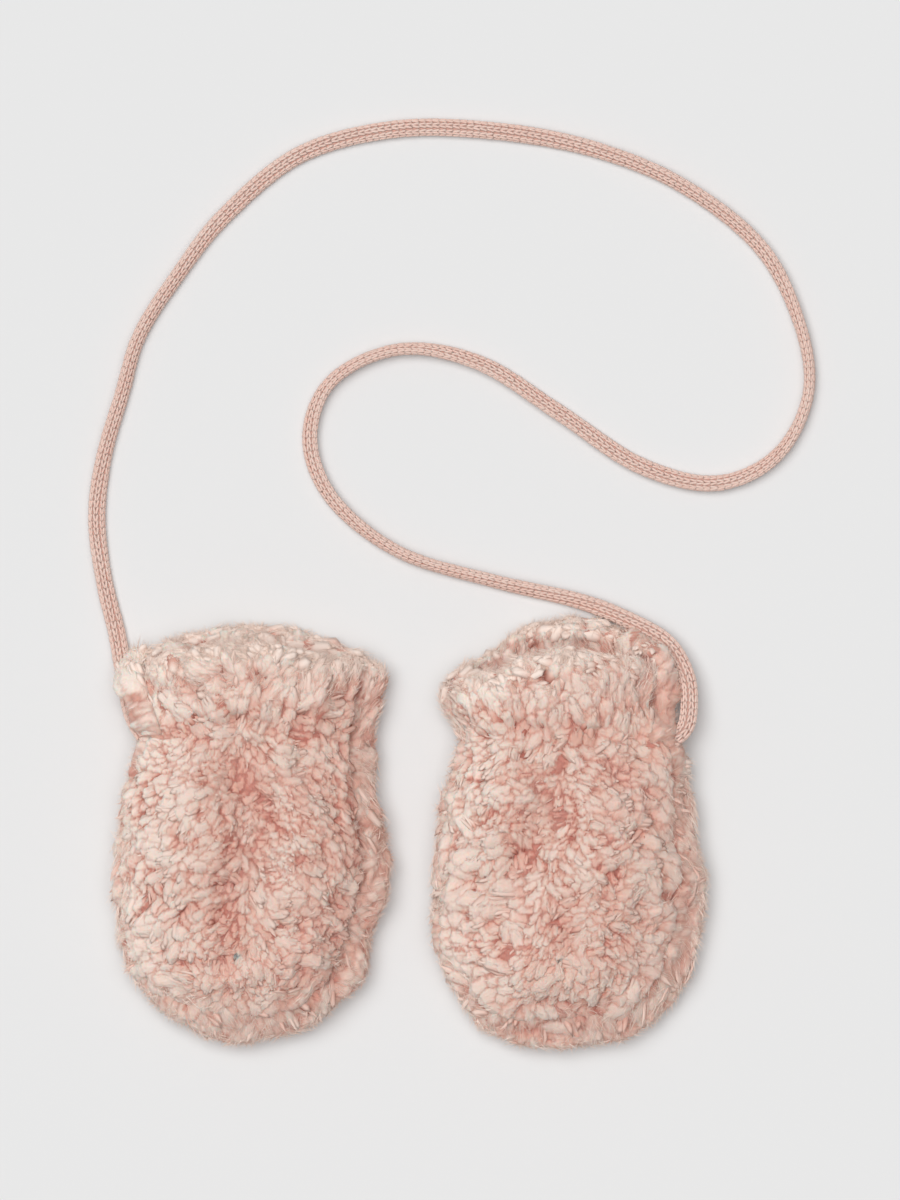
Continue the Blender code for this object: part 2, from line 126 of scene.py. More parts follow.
class NodeGraph:
    """A short way to add and join the nodes of one tree."""

    def __init__(self, tree: bpy.types.NodeTree) -> None:
        """Keeps the tree.

        Args:
            tree: A material's or a group's node tree.
        """
        self.tree = tree

    def add(self, kind: str, **values: object) -> bpy.types.Node:
        """Adds a node.

        Args:
            kind: The node's type, without the ShaderNode at its start.
            values: Its properties, such as operation.

        Returns:
            The new node.
        """
        node = self.tree.nodes.new("ShaderNode" + kind)
        for name, value in values.items():
            setattr(node, name, value)
        return node

    def join(self, source: object, target: bpy.types.NodeSocket) -> None:
        """Links a socket to a target, or sets the target to a plain value.

        Args:
            source: A socket or a value.
            target: The input socket.
        """
        if isinstance(source, bpy.types.NodeSocket):
            self.tree.links.new(source, target)
        else:
            target.default_value = source

    def math(self, operation: str, first: object, second: object = 0.0, clamp: bool = False) -> bpy.types.NodeSocket:
        """Adds a Math node.

        Args:
            operation: The node's operation.
            first: Its first input, a socket or a number.
            second: Its second input.
            clamp: Whether the result stays from 0 to 1.

        Returns:
            Its result.
        """
        node = self.add("Math", operation=operation, use_clamp=clamp)
        self.join(first, node.inputs[0])
        self.join(second, node.inputs[1])
        return node.outputs[0]

    def stretch(self, value: object, low: float, gain: float) -> bpy.types.NodeSocket:
        """Takes what a value has above its low end and makes that steeper.

        Args:
            value: A socket or a number.
            low: Where the result leaves 0.
            gain: How fast it rises from there.

        Returns:
            A result from 0 to 1.
        """
        return self.math("MULTIPLY", self.math("SUBTRACT", value, low), gain, clamp=True)

    def mix(self, share: object, first: object, second: object, blend: str = "MIX") -> bpy.types.NodeSocket:
        """Adds a Mix node for colours.

        Args:
            share: How much of the second colour, a socket or a number.
            first: The first colour.
            second: The second colour.
            blend: The node's blend type.

        Returns:
            The mixed colour.
        """
        node = self.add("Mix", data_type="RGBA", blend_type=blend)
        self.join(share, node.inputs["Factor"])
        for source, name in ((first, "A"), (second, "B")):
            target = next(s for s in node.inputs if s.name == name and s.type == "RGBA")
            self.join(opaque(source), target)
        return next(s for s in node.outputs if s.type == "RGBA")

    def attribute(self, name: str, output: str = "Fac") -> bpy.types.NodeSocket:
        """Reads one of the mesh's attributes.

        Args:
            name: The attribute.
            output: Fac for a number, Vector for a vector.

        Returns:
            The attribute's socket.
        """
        return self.add("Attribute", attribute_name=name).outputs[output]

    def noise(self, vector: object, scale: object, detail: float) -> bpy.types.NodeSocket:
        """Adds a Noise texture.

        Args:
            vector: The place it is read at.
            scale: Its scale, a socket or a number.
            detail: Its detail.

        Returns:
            Its value, around one half.
        """
        node = self.add("TexNoise")
        for name, source in (("Scale", scale), ("Detail", detail), ("Vector", vector)):
            self.join(source, node.inputs[name])
        return node.outputs["Fac"]


def new_group(name: str, inputs: dict[str, str], outputs: dict[str, str]) -> bpy.types.NodeTree:
    """Makes an empty shader group with its sockets.

    Args:
        name: The group's name.
        inputs: Socket types by input name.
        outputs: Socket types by output name.

    Returns:
        The group's tree, with its input and output nodes in place.
    """
    group = bpy.data.node_groups.new(name, "ShaderNodeTree")
    for in_out, sockets in (("INPUT", inputs), ("OUTPUT", outputs)):
        for socket, kind in sockets.items():
            group.interface.new_socket(socket, in_out=in_out, socket_type="NodeSocket" + kind)
    group.nodes.new("NodeGroupInput")
    group.nodes.new("NodeGroupOutput")
    return group


class SharedGroup:
    """A shader group that is built once and used by several materials."""

    NAME = ""
    INPUTS: dict[str, str] = {}
    OUTPUTS: dict[str, str] = {}

    @classmethod
    def draw(cls, graph: NodeGraph, source: bpy.types.Node, target: bpy.types.Node) -> None:
        """Adds the nodes between the group's inputs and outputs.

        Args:
            graph: The group's graph.
            source: Its input node.
            target: Its output node.
        """
        raise NotImplementedError

    @classmethod
    def place(cls, graph: NodeGraph, values: dict[str, object]) -> bpy.types.Node:
        """Puts the group into a material.

        Args:
            graph: The material's graph.
            values: Sockets or plain values, by input name.

        Returns:
            The group's node.
        """
        group = bpy.data.node_groups.get(cls.NAME)
        if not group:
            group = new_group(cls.NAME, cls.INPUTS, cls.OUTPUTS)
            cls.draw(NodeGraph(group), group.nodes["Group Input"], group.nodes["Group Output"])
        node = graph.add("Group", node_tree=group)
        for name, value in values.items():
            graph.join(value, node.inputs[name])
        return node


class FibreGrain(SharedGroup):
    """Fine fibres: Height for a bump, and Streak, a mask from 0 to 1."""

    NAME = "Fibre grain"
    INPUTS = {"Place": "Vector", "Across": "Float", "Along": "Float"}
    OUTPUTS = {"Height": "Float", "Streak": "Float"}
    FINE_SCALE = 2.7
    FINE_SHARE = 0.5
    STREAK_LOW = 0.55
    STREAK_GAIN = 2.5

    @classmethod
    def draw(cls, graph: NodeGraph, source: bpy.types.Node, target: bpy.types.Node) -> None:
        """Adds two noises that are drawn out along the grain.

        Args:
            graph: The group's graph.
            source: Its input node.
            target: Its output node.
        """
        scale = graph.add("CombineXYZ")
        for axis, socket in (("X", "Across"), ("Y", "Across"), ("Z", "Along")):
            graph.join(source.outputs[socket], scale.inputs[axis])
        place = graph.add("VectorMath", operation="MULTIPLY")
        graph.join(source.outputs["Place"], place.inputs[0])
        graph.join(scale.outputs[0], place.inputs[1])
        coarse = graph.noise(place.outputs[0], 1.0, 2.0)
        fine = graph.noise(place.outputs[0], cls.FINE_SCALE, 1.0)
        total = graph.math("ADD", coarse, graph.math("MULTIPLY", fine, cls.FINE_SHARE))
        graph.join(total, target.inputs["Height"])
        graph.join(graph.stretch(total, cls.STREAK_LOW, cls.STREAK_GAIN), target.inputs["Streak"])

    @classmethod
    def on_grain(cls, graph: NodeGraph, across: float, along: float) -> bpy.types.Node:
        """Puts the group into a material, along the piece's grain attribute.

        Args:
            graph: The material's graph.
            across: How fine the fibres are across the grain.
            along: How fine they are along it.

        Returns:
            The group's node.
        """
        return cls.place(graph, {"Place": graph.attribute("grain", "Vector"), "Across": across, "Along": along})


class PatchTint(SharedGroup):
    """A colour that varies in soft patches over a piece."""

    NAME = "Patch tint"
    INPUTS = {"Color": "Color", "Patch": "Color", "Scale": "Float", "Amount": "Float"}
    OUTPUTS = {"Color": "Color"}
    DETAIL = 3.0
    LOW = 0.4
    GAIN = 4.0

    @classmethod
    def draw(cls, graph: NodeGraph, source: bpy.types.Node, target: bpy.types.Node) -> None:
        """Adds one noise, and the mix of the two colours.

        Args:
            graph: The group's graph.
            source: Its input node.
            target: Its output node.
        """
        spots = graph.noise(graph.add("TexCoord").outputs["Object"], source.outputs["Scale"], cls.DETAIL)
        mask = graph.math("MULTIPLY", graph.stretch(spots, cls.LOW, cls.GAIN), source.outputs["Amount"])
        graph.join(graph.mix(mask, source.outputs["Color"], source.outputs["Patch"]), target.inputs["Color"])

    @classmethod
    def over(
        cls, graph: NodeGraph, colour: object, patch: Colour, scale: float, amount: float
    ) -> bpy.types.NodeSocket:
        """Puts the group into a material.

        Args:
            graph: The material's graph.
            colour: The plain colour, a socket or three numbers.
            patch: The colour of the patches.
            scale: How small the patches are.
            amount: How much of the patch colour they take.

        Returns:
            The varied colour.
        """
        values = {"Color": opaque(colour), "Patch": opaque(patch), "Scale": scale, "Amount": amount}
        return cls.place(graph, values).outputs["Color"]


def start_material(name: str, roughness: float) -> tuple[bpy.types.Material, NodeGraph, bpy.types.Node]:
    """Makes a material with its Principled BSDF.

    Args:
        name: The material's name.
        roughness: Its roughness.

    Returns:
        The material, its graph and its shader.
    """
    material = bpy.data.materials.new(name)
    material.use_nodes = True
    shader = material.node_tree.nodes["Principled BSDF"]
    set_inputs(shader, {"Roughness": roughness, "Specular IOR Level": DRY_SPECULAR})
    return material, NodeGraph(material.node_tree), shader


def add_bump(graph: NodeGraph, shader: bpy.types.Node, height: object, distance: float, strength: float) -> None:
    """Feeds a height to the shader's normal.

    Args:
        graph: The material's graph.
        shader: Its Principled BSDF.
        height: The height socket.
        distance: How high it stands, in metres.
        strength: The bump's strength.
    """
    bump = graph.add("Bump")
    set_inputs(bump, {"Distance": distance, "Strength": strength})
    graph.join(height, bump.inputs["Height"])
    graph.join(bump.outputs["Normal"], shader.inputs["Normal"])


# Finishes


@dataclass(frozen=True)
class PileFinish:
    """The fleece's pile: deep colour at the roots and in the creases as painted shade, pale at the tips.

    The colour goes by how high a place is up its lock or tuft, changed by the lock's own tint and
    darkened by painted shade where it lies deep in a hollow. A painted highlight lies along the fibre
    streaks on the high parts, and the cream is painted light where the pale attribute says, with pale
    spots at random. The lows and gains say where up the lock each next colour starts, and how fast
    it comes.
    """

    name: str = "Pale pink locks"
    # Root and middle are the deeper colours of painted shade, low in the pile and in the creases.
    root: Colour = (0.60, 0.25, 0.20)
    middle: Colour = (0.76, 0.46, 0.375)
    tip: Colour = (0.77, 0.59, 0.51)
    # A painted highlight along the fibre streaks on the high parts of the locks.
    painted_highlight: Colour = (0.85, 0.71, 0.63)
    # The cream of the painted light, on sides facing the light, rims and hairs, with pale spots at random.
    cream: Colour = (0.95, 0.80, 0.715)
    patch: Colour = (0.78, 0.51, 0.435)
    roughness: float = 0.92
    across: float = 1.3
    along: float = 0.28
    tint_share: float = 0.4
    shade_share: float = 0.7
    middle_gain: float = 2.8
    tip_low: float = 0.42
    cream_low: float = 0.28
    gain: float = 1.9
    patch_scale: float = 55.0
    patch_amount: float = 0.30
    streak: float = 0.3
    bump: float = 0.1 * MM
    bump_strength: float = 0.6
    subsurface: float = 0.0
    subsurface_radius: tuple[float, float, float] = (1.0, 0.55, 0.45)
    subsurface_scale: float = 1.4 * MM

    def build(self) -> bpy.types.Material:
        """Builds the material.

        Returns:
            The pile's material.
        """
        material, graph, shader = start_material(self.name, self.roughness)
        rise, shade, tint, pale = (graph.attribute(name) for name in ("rise", "shade", "tint", "pale"))
        grain = FibreGrain.on_grain(graph, self.across, self.along)
        # Painted shade: deeper colour low on each lock and in creases, by rise, and where shade says it lies in a
        # hollow.
        tinted = graph.math("MULTIPLY", graph.math("SUBTRACT", tint, 0.5), self.tint_share)
        lift = graph.math("ADD", rise, tinted)
        lift = graph.math("SUBTRACT", lift, graph.math("MULTIPLY", shade, self.shade_share), clamp=True)
        low = graph.math("MULTIPLY", lift, self.middle_gain, clamp=True)
        high = graph.stretch(lift, self.tip_low, self.gain)
        colour = graph.mix(low, self.root, self.middle)
        colour = graph.mix(high, colour, self.tip)
        colour = PatchTint.over(graph, colour, self.patch, self.patch_scale, self.patch_amount)
        # Painted highlight along the fibre streaks on the high parts.
        streak = graph.math("MULTIPLY", grain.outputs["Streak"], graph.math("MULTIPLY", high, self.streak))
        # The cream of the painted light, where the pale attribute says, on the higher parts.
        pale = graph.math("MULTIPLY", pale, graph.stretch(lift, self.cream_low, self.gain), clamp=True)
        colour = graph.mix(pale, graph.mix(streak, colour, self.painted_highlight), self.cream)
        graph.join(colour, shader.inputs["Base Color"])
        add_bump(graph, shader, grain.outputs["Height"], self.bump, self.bump_strength)
        set_inputs(
            shader,
            {
                "Subsurface Weight": self.subsurface,
                "Subsurface Radius": self.subsurface_radius,
                "Subsurface Scale": self.subsurface_scale,
            },
        )
        return material


@dataclass(frozen=True)
class CordFinish:
    """The knitted cord: pale stitches over a deeper core, where the core's colour and the stitches'
    darker inner sides are painted shade and their pale crowns painted light.
    """

    name: str = "Knitted cord"
    stitch: Colour = (0.83, 0.55, 0.465)
    # Pale paints light on the stitches' crowns, and also lies along the fibre streaks.
    pale: Colour = (0.90, 0.71, 0.63)
    # Core is the deep colour of painted shade between the stitches.
    core: Colour = (0.68, 0.36, 0.285)
    roughness: float = 0.8
    across: float = 6.0
    along: float = 0.9
    tint_share: float = 0.25
    gain: float = 1.6
    pale_low: float = 0.62
    streak: float = 0.25
    patch_scale: float = 70.0
    patch_amount: float = 0.25
    bump: float = 0.12 * MM
    bump_strength: float = 0.6

    def build(self) -> bpy.types.Material:
        """Builds the material.

        Returns:
            The cord's material.
        """
        material, graph, shader = start_material(self.name, self.roughness)
        grain = FibreGrain.on_grain(graph, self.across, self.along)
        tinted = graph.math("MULTIPLY", graph.attribute("tint"), self.tint_share)
        lift = graph.math("ADD", graph.attribute("rise"), tinted)
        # Painted shade towards the core, painted light on the crowns, then paler fibre streaks.
        colour = graph.mix(graph.math("MULTIPLY", lift, self.gain, clamp=True), self.core, self.stitch)
        colour = graph.mix(graph.stretch(lift, self.pale_low, self.gain), colour, self.pale)
        colour = graph.mix(graph.math("MULTIPLY", grain.outputs["Streak"], self.streak), colour, self.pale)
        colour = PatchTint.over(graph, colour, self.stitch, self.patch_scale, self.patch_amount)
        graph.join(colour, shader.inputs["Base Color"])
        add_bump(graph, shader, grain.outputs["Height"], self.bump, self.bump_strength)
        set_inputs(
            shader,
            {
                "Sheen Weight": 0.25,
                "Subsurface Weight": 0.1,
                "Subsurface Radius": (1.0, 0.5, 0.4),
                "Subsurface Scale": 0.6 * MM,
            },
        )
        return material


@dataclass(frozen=True)
class ElasticFinish:
    """The woven band inside a wrist, with ribs along the mitten's length and painted shade in the
    grooves between them.
    """

    name: str = "Woven elastic"
    warp: Colour = (0.86, 0.68, 0.61)
    # Groove is the darker colour of painted shade between the ribs, and it also tints random patches.
    groove: Colour = (0.70, 0.46, 0.39)
    roughness: float = 0.7
    rib_scale: float = 520.0
    rib_waver: float = 0.6
    patch_scale: float = 400.0
    patch_amount: float = 0.25
    bump: float = 0.25 * MM
    bump_strength: float = 0.7

    def build(self) -> bpy.types.Material:
        """Builds the material.

        Returns:
            The elastic's material.
        """
        material, graph, shader = start_material(self.name, self.roughness)
        ribs = graph.add("TexWave", wave_type="BANDS", bands_direction="X", wave_profile="SIN")
        set_inputs(ribs, {"Scale": self.rib_scale, "Distortion": self.rib_waver})
        graph.join(graph.add("TexCoord").outputs["Object"], ribs.inputs["Vector"])
        # Painted shade in the rib grooves.
        colour = graph.mix(ribs.outputs["Fac"], self.groove, self.warp)
        colour = PatchTint.over(graph, colour, self.groove, self.patch_scale, self.patch_amount)
        graph.join(colour, shader.inputs["Base Color"])
        add_bump(graph, shader, ribs.outputs["Fac"], self.bump, self.bump_strength)
        return material


@dataclass(frozen=True)
class FloorFinish:
    """The plain pale floor."""

    name: str = "Pale floor"
    colour: Colour = (0.80, 0.80, 0.80)
    roughness: float = 1.0

    def build(self) -> bpy.types.Material:
        """Builds the material.

        Returns:
            The floor's material.
        """
        material, _, shader = start_material(self.name, self.roughness)
        set_inputs(shader, {"Base Color": opaque(self.colour)})
        return material


# The studio


def new_object(name: str, data: bpy.types.ID) -> bpy.types.Object:
    """Makes an object and links it to the scene.

    Args:
        name: Its name.
        data: What it shows.

    Returns:
        The object.
    """
    made = bpy.data.objects.new(name, data)
    bpy.context.scene.collection.objects.link(made)
    return made


@dataclass
class Studio:
    """The floor, the light and the camera."""

    centre: tuple[float, float] = (11.25 * MM, 70.5 * MM)
    view_height: float = 360.0 * MM
    focus_height: float = 8.0 * MM
    camera_distance: float = 3.6
    sensor: float = 36.0
    clip_end: float = 10.0
    floor_side: float = 8.0
    key_elevation: float = 70.0
    key_azimuth: float = 138.0
    key_spread: float = 44.0
    key_strength: float = 1.35
    top_elevation: float = 90.0
    top_spread: float = 60.0
    top_strength: float = 1.08
    world_strength: float = 0.262

    def build(self) -> None:
        """Builds all of it."""
        self.add_camera()
        self.add_floor()
        self.add_light()

    def add_camera(self) -> None:
        """Puts the camera straight above, with the photograph's top towards +Y."""
        data = bpy.data.cameras.new("Camera")
        data.sensor_width = self.sensor
        data.lens = self.sensor * self.camera_distance / self.view_height
        data.clip_end = self.clip_end
        camera = new_object("Camera", data)
        camera.location = (*self.centre, self.focus_height + self.camera_distance)
        bpy.context.scene.camera = camera

    def add_floor(self) -> None:
        """Lays the floor at height zero."""
        mesh = bmesh.new()
        bmesh.ops.create_grid(mesh, x_segments=1, y_segments=1, size=self.floor_side / 2)
        data = bpy.data.meshes.new("Floor")
        mesh.to_mesh(data)
        mesh.free()
        data.materials.append(FloorFinish().build())
        floor = new_object("Floor", data)

    def add_light(self) -> None:
        """Adds a broad light overhead, one from the upper left and an even pale surround."""
        world = bpy.data.worlds.new("Surround")
        world.use_nodes = True
        background = world.node_tree.nodes["Background"]
        set_inputs(background, {"Color": (1.0, 1.0, 1.0, 1.0), "Strength": self.world_strength})
        bpy.context.scene.world = world
        self.add_lamp("Key", self.key_elevation, self.key_spread, self.key_strength)
        self.add_lamp("Top", self.top_elevation, self.top_spread, self.top_strength)
        bpy.context.scene.view_settings.view_transform = "Standard"

    def add_lamp(self, name: str, elevation: float, spread: float, strength: float) -> None:
        """Adds one soft light that is very far away.

        Args:
            name: Its name.
            elevation: How high it stands above the floor, in degrees.
            spread: How broad it looks from the floor, in degrees.
            strength: Its strength.
        """
        data = bpy.data.lights.new(name, "SUN")
        data.angle = math.radians(spread)
        data.energy = strength
        up, turn = math.radians(elevation), math.radians(self.key_azimuth)
        towards = Vector((math.cos(turn) * math.cos(up), math.sin(turn) * math.cos(up), math.sin(up)))
        lamp = new_object(name, data)
        lamp.rotation_euler = towards.to_track_quat("Z", "Y").to_euler()


# Many small things in one mesh


class Template:
    """One small closed shape, kept as arrays so that many bent copies of it can be joined."""

    def __init__(self, mesh: bmesh.types.BMesh) -> None:
        """Reads a bmesh and frees it.

        Args:
            mesh: The shape, at unit size round the Z axis from 0 to 1.
        """
        bmesh.ops.recalc_face_normals(mesh, faces=mesh.faces)
        self.points = np.array([v.co for v in mesh.verts], float)
        self.faces = [[v.index for v in face.verts] for face in mesh.faces]
        mesh.free()

    @classmethod
    def lock(cls, sides: int, heights: tuple[float, ...]) -> Template:
        """A pointed column with a ring at each height.

        Args:
            sides: Its sides.
            heights: The heights of its rings between its root and its tip.

        Returns:
            The template.
        """
        mesh = bmesh.new()
        bmesh.ops.create_cone(mesh, cap_ends=True, segments=sides, radius1=1.0, radius2=0.0, depth=1.0)
        bmesh.ops.translate(mesh, verts=mesh.verts, vec=(0.0, 0.0, 0.5))
        for height in heights:
            parts = [*mesh.verts, *mesh.edges, *mesh.faces]
            bmesh.ops.bisect_plane(mesh, geom=parts, plane_co=(0.0, 0.0, height), plane_no=(0.0, 0.0, 1.0))
        for vert in mesh.verts:
            across = vert.co.xy.length
            if across > 1e-6:
                vert.co.xy = vert.co.xy / across
        return cls(mesh)

    @classmethod
    def lobe(cls, around: int, along: int) -> Template:
        """A round bead between heights 0 and 1.

        Args:
            around: Its sides.
            along: Its bands from end to end.

        Returns:
            The template.
        """
        mesh = bmesh.new()
        bmesh.ops.create_uvsphere(mesh, u_segments=around, v_segments=along, radius=1.0)
        for vert in mesh.verts:
            vert.co.z = (vert.co.z + 1.0) / 2
        return cls(mesh)


def set_attributes(data: bpy.types.Mesh, values: dict[str, np.ndarray]) -> None:
    """Writes a mesh's point attributes.

    Args:
        data: The mesh.
        values: A number or a vector for each point, by the attribute's name.
    """
    for name, value in values.items():
        value = value.astype(np.float32)
        kind, slot = ("FLOAT_VECTOR", "vector") if value.ndim == 2 and value.shape[1] == 3 else ("FLOAT", "value")
        data.attributes.new(name, kind, "POINT").data.foreach_set(slot, value.ravel())


class Heap:
    """Copies of templates, gathered to become one mesh."""

    def __init__(self) -> None:
        """Starts empty."""
        self.points: list[np.ndarray] = []
        self.faces: list[list[int]] = []
        self.smooth: list[bool] = []
        self.values: dict[str, list[np.ndarray]] = {}
        self.count = 0

    def add(
        self, template: Template, placed: np.ndarray, values: dict[str, np.ndarray], smooth: bool = True
    ) -> None:
        """Adds copies of a template.

        Args:
            template: The shape.
            placed: Its points in each copy, as copies by points by 3.
            values: Attribute values, as copies by points, or by points by 3.
            smooth: Whether the faces are shaded as one round surface.
        """
        copies, size = placed.shape[:2]
        for copy in range(copies):
            start = self.count + copy * size
            self.faces += [[start + index for index in face] for face in template.faces]
        self.smooth += [smooth] * (copies * len(template.faces))
        self.points.append(placed.reshape(-1, 3))
        for name, value in values.items():
            self.values.setdefault(name, []).append(value.reshape(copies * size, -1))
        self.count += copies * size

    def build(self, name: str) -> bpy.types.Mesh:
        """Makes the mesh.

        Args:
            name: Its name.

        Returns:
            The mesh, with an attribute for each of the values.
        """
        points = np.concatenate(self.points)
        points[:, 2] = np.maximum(points[:, 2], FLOOR_CLEARANCE)
        data = bpy.data.meshes.new(name)
        data.from_pydata(points.tolist(), [], self.faces)
        set_attributes(data, {key: np.concatenate(parts) for key, parts in self.values.items()})
        data.polygons.foreach_set("use_smooth", self.smooth)
        return data


def add_piece(data: bpy.types.ID, material: bpy.types.Material) -> bpy.types.Object:
    """Shows a mesh as a piece of the object.

    Args:
        data: The mesh, in its place.
        material: Its material.

    Returns:
        The piece, riding on the one body.
    """
    data.materials.append(material)
    piece = new_object(data.name, data)
    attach(piece, "root")
    LOG.info("%s: %d faces", piece.name, len(data.polygons))
    return piece


# The cord


class SmoothRoute:
    """A smooth curve through given points, read by its length."""

    STEPS = 24

    def __init__(self, rows: np.ndarray) -> None:
        """Draws the curve.

        Args:
            rows: The points, one a row, whose first three columns are a place.
        """
        ends = np.vstack([2 * rows[0] - rows[1], rows, 2 * rows[-1] - rows[-2]])
        t = (np.arange(self.STEPS) / self.STEPS)[:, None]
        pieces = []
        for index in range(len(rows) - 1):
            p0, p1, p2, p3 = ends[index : index + 4]
            straight = p1 * 2 + (p2 - p0) * t
            pieces.append((straight + (p0 * 2 - p1 * 5 + p2 * 4 - p3) * t**2 + (p1 * 3 - p0 - p2 * 3 + p3) * t**3) / 2)
        self.rows = np.vstack([*pieces, rows[-1:]])
        steps = np.linalg.norm(np.diff(self.rows[:, :3], axis=0), axis=1)
        self.travelled = np.concatenate([[0.0], np.cumsum(steps)])
        self.length = float(self.travelled[-1])

    def at(self, lengths: np.ndarray) -> np.ndarray:
        """Reads the curve.

        Args:
            lengths: Distances along it.

        Returns:
            Every column of the rows at each distance.
        """
        columns = [np.interp(lengths, self.travelled, column) for column in self.rows.T]
        return np.stack(columns, axis=-1)


@dataclass
class NeckCord:
    """The flattened knitted tube that joins the mittens.

    Each row of the route is x, y and the height of the cord's middle in metres, then how far its
    flat side is turned from lying level, in degrees. Its height is route_rest where the cord lies
    on the floor, and the cord is then set as high as its turned section needs. A leg's foot and
    its lean are shares of the room between two wales. Probe is how far before and behind a place
    the cord's direction is read.
    """

    half_width: float = 2.45 * MM
    half_height: float = 1.52 * MM
    stitch_length: float = 2.05 * MM
    wales: int = 7
    core_sides: int = 12
    core_inset: float = 0.34 * MM
    leg_width: float = 0.50 * MM
    leg_height: float = 0.42 * MM
    leg_overlap: float = 1.45
    leg_foot: float = 0.06
    leg_inset: float = 0.12 * MM
    lean: float = 0.30
    first_wale: float = 0.4
    probe: float = 0.5 * MM
    slip: float = 0.04
    unevenness: float = 0.07
    route_rest: float = 2.5 * MM
    sink: float = 0.2 * MM
    seed: int = 11
    route: tuple[tuple[float, float, float, float], ...] = (
        (-0.0802, 0.0294, 0.0104, 0),
        (-0.0831, 0.0339, 0.0090, 5),
        (-0.0849, 0.0390, 0.0070, 12),
        (-0.0860, 0.0450, 0.0048, 15),
        (-0.0873, 0.0515, 0.0032, 10),
        (-0.0890, 0.0610, 0.0025, 12),
        (-0.0930, 0.0780, 0.0025, 28),
        (-0.0949, 0.0960, 0.0025, 12),
        (-0.0926, 0.1140, 0.0025, 38),
        (-0.0874, 0.1320, 0.0025, 48),
        (-0.0820, 0.1500, 0.0025, 55),
        (-0.0706, 0.1680, 0.0025, 48),
        (-0.0564, 0.1860, 0.0025, 30),
        (-0.0338, 0.2043, 0.0025, 20),
        (-0.0050, 0.2120, 0.0025, 0),
        (0.0262, 0.2113, 0.0025, 8),
        (0.0550, 0.2058, 0.0025, 35),
        (0.0811, 0.1950, 0.0025, 50),
        (0.1041, 0.1770, 0.0025, 45),
        (0.1158, 0.1550, 0.0025, 70),
        (0.1190, 0.1330, 0.0025, 85),
        (0.1095, 0.1140, 0.0025, 60),
        (0.0910, 0.1056, 0.0025, 35),
        (0.0682, 0.1110, 0.0025, 25),
        (0.0442, 0.1267, 0.0025, 32),
        (0.0202, 0.1417, 0.0025, 40),
        (-0.0038, 0.1458, 0.0025, 70),
        (-0.0241, 0.1365, 0.0025, 65),
        (-0.0309, 0.1190, 0.0025, 40),
        (-0.0238, 0.1005, 0.0025, 52),
        (-0.0038, 0.0848, 0.0025, 72),
        (0.0240, 0.0763, 0.0025, 60),
        (0.0500, 0.0702, 0.0028, 35),
        (0.0660, 0.0639, 0.0042, 20),
        (0.0764, 0.0576, 0.0062, 8),
        (0.0819, 0.0485, 0.0082, 0),
        (0.0830, 0.0395, 0.0100, 0),
        (0.0816, 0.0320, 0.0116, 0),
        (0.0763, 0.0278, 0.0126, 0),
    )

    def __post_init__(self) -> None:
        """Draws the smooth route."""
        self.smooth = SmoothRoute(np.array(self.route, float))

    def section(self, along: np.ndarray) -> tuple[np.ndarray, ...]:
        """The cord's cross-section at places along it.

        Args:
            along: Distances along the cord.

        Returns:
            Its middle, and the directions along it, across its width and through its height.
        """
        rows = self.smooth.at(along)
        ahead = self.smooth.at(np.minimum(along + self.probe, self.smooth.length))[..., :3]
        behind = self.smooth.at(np.maximum(along - self.probe, 0.0))[..., :3]
        forward = unit(ahead - behind)
        level = unit(np.cross(UP, forward))
        over = np.cross(forward, level)
        turn = np.radians(rows[..., 3:4])
        wide = np.cos(turn) * level + np.sin(turn) * over
        high = -np.sin(turn) * level + np.cos(turn) * over
        rise = np.sqrt((self.half_width * np.sin(turn)) ** 2 + (self.half_height * np.cos(turn)) ** 2)
        base = self.route_rest - self.sink
        return rows[..., :3] + UP * (rise - base), forward, wide, high

    def surface(self, along: np.ndarray, angle: np.ndarray, inset: float = 0.0) -> tuple[np.ndarray, np.ndarray]:
        """Places on the cord's surface.

        Args:
            along: Distances along the cord.
            angle: Angles round it.
            inset: How far under the surface.

        Returns:
            The places and the outward normals.
        """
        middle, _, wide, high = self.section(along)
        cosine, sine = np.cos(angle)[..., None], np.sin(angle)[..., None]
        a, b = self.half_width - inset, self.half_height - inset
        return middle + a * cosine * wide + b * sine * high, unit(b * cosine * wide + a * sine * high)

    def add_core(self, heap: Heap) -> None:
        """Adds the tube under the stitches, rolled from a grid.

        Args:
            heap: The cord's heap.
        """
        rings = round(self.smooth.length / self.stitch_length)
        mesh = bmesh.new()
        bmesh.ops.create_grid(mesh, x_segments=rings, y_segments=self.core_sides, size=0.5)
        flat = np.array([v.co for v in mesh.verts]) + 0.5
        rolled, _ = self.surface(flat[:, 0] * self.smooth.length, flat[:, 1] * 2 * math.pi, self.core_inset)
        for vert, place in zip(mesh.verts, rolled):
            vert.co = place
        bmesh.ops.remove_doubles(mesh, verts=mesh.verts, dist=0.01 * MM)
        bmesh.ops.holes_fill(mesh, edges=mesh.edges, sides=self.core_sides + 1)
        core = Template(mesh)
        count = len(core.points)
        blank = np.zeros((1, count))
        # The core takes the full colour of the painted shade.
        heap.add(core, core.points[None], {"rise": blank, "tint": blank + 0.5, "grain": core.points[None] / MM})

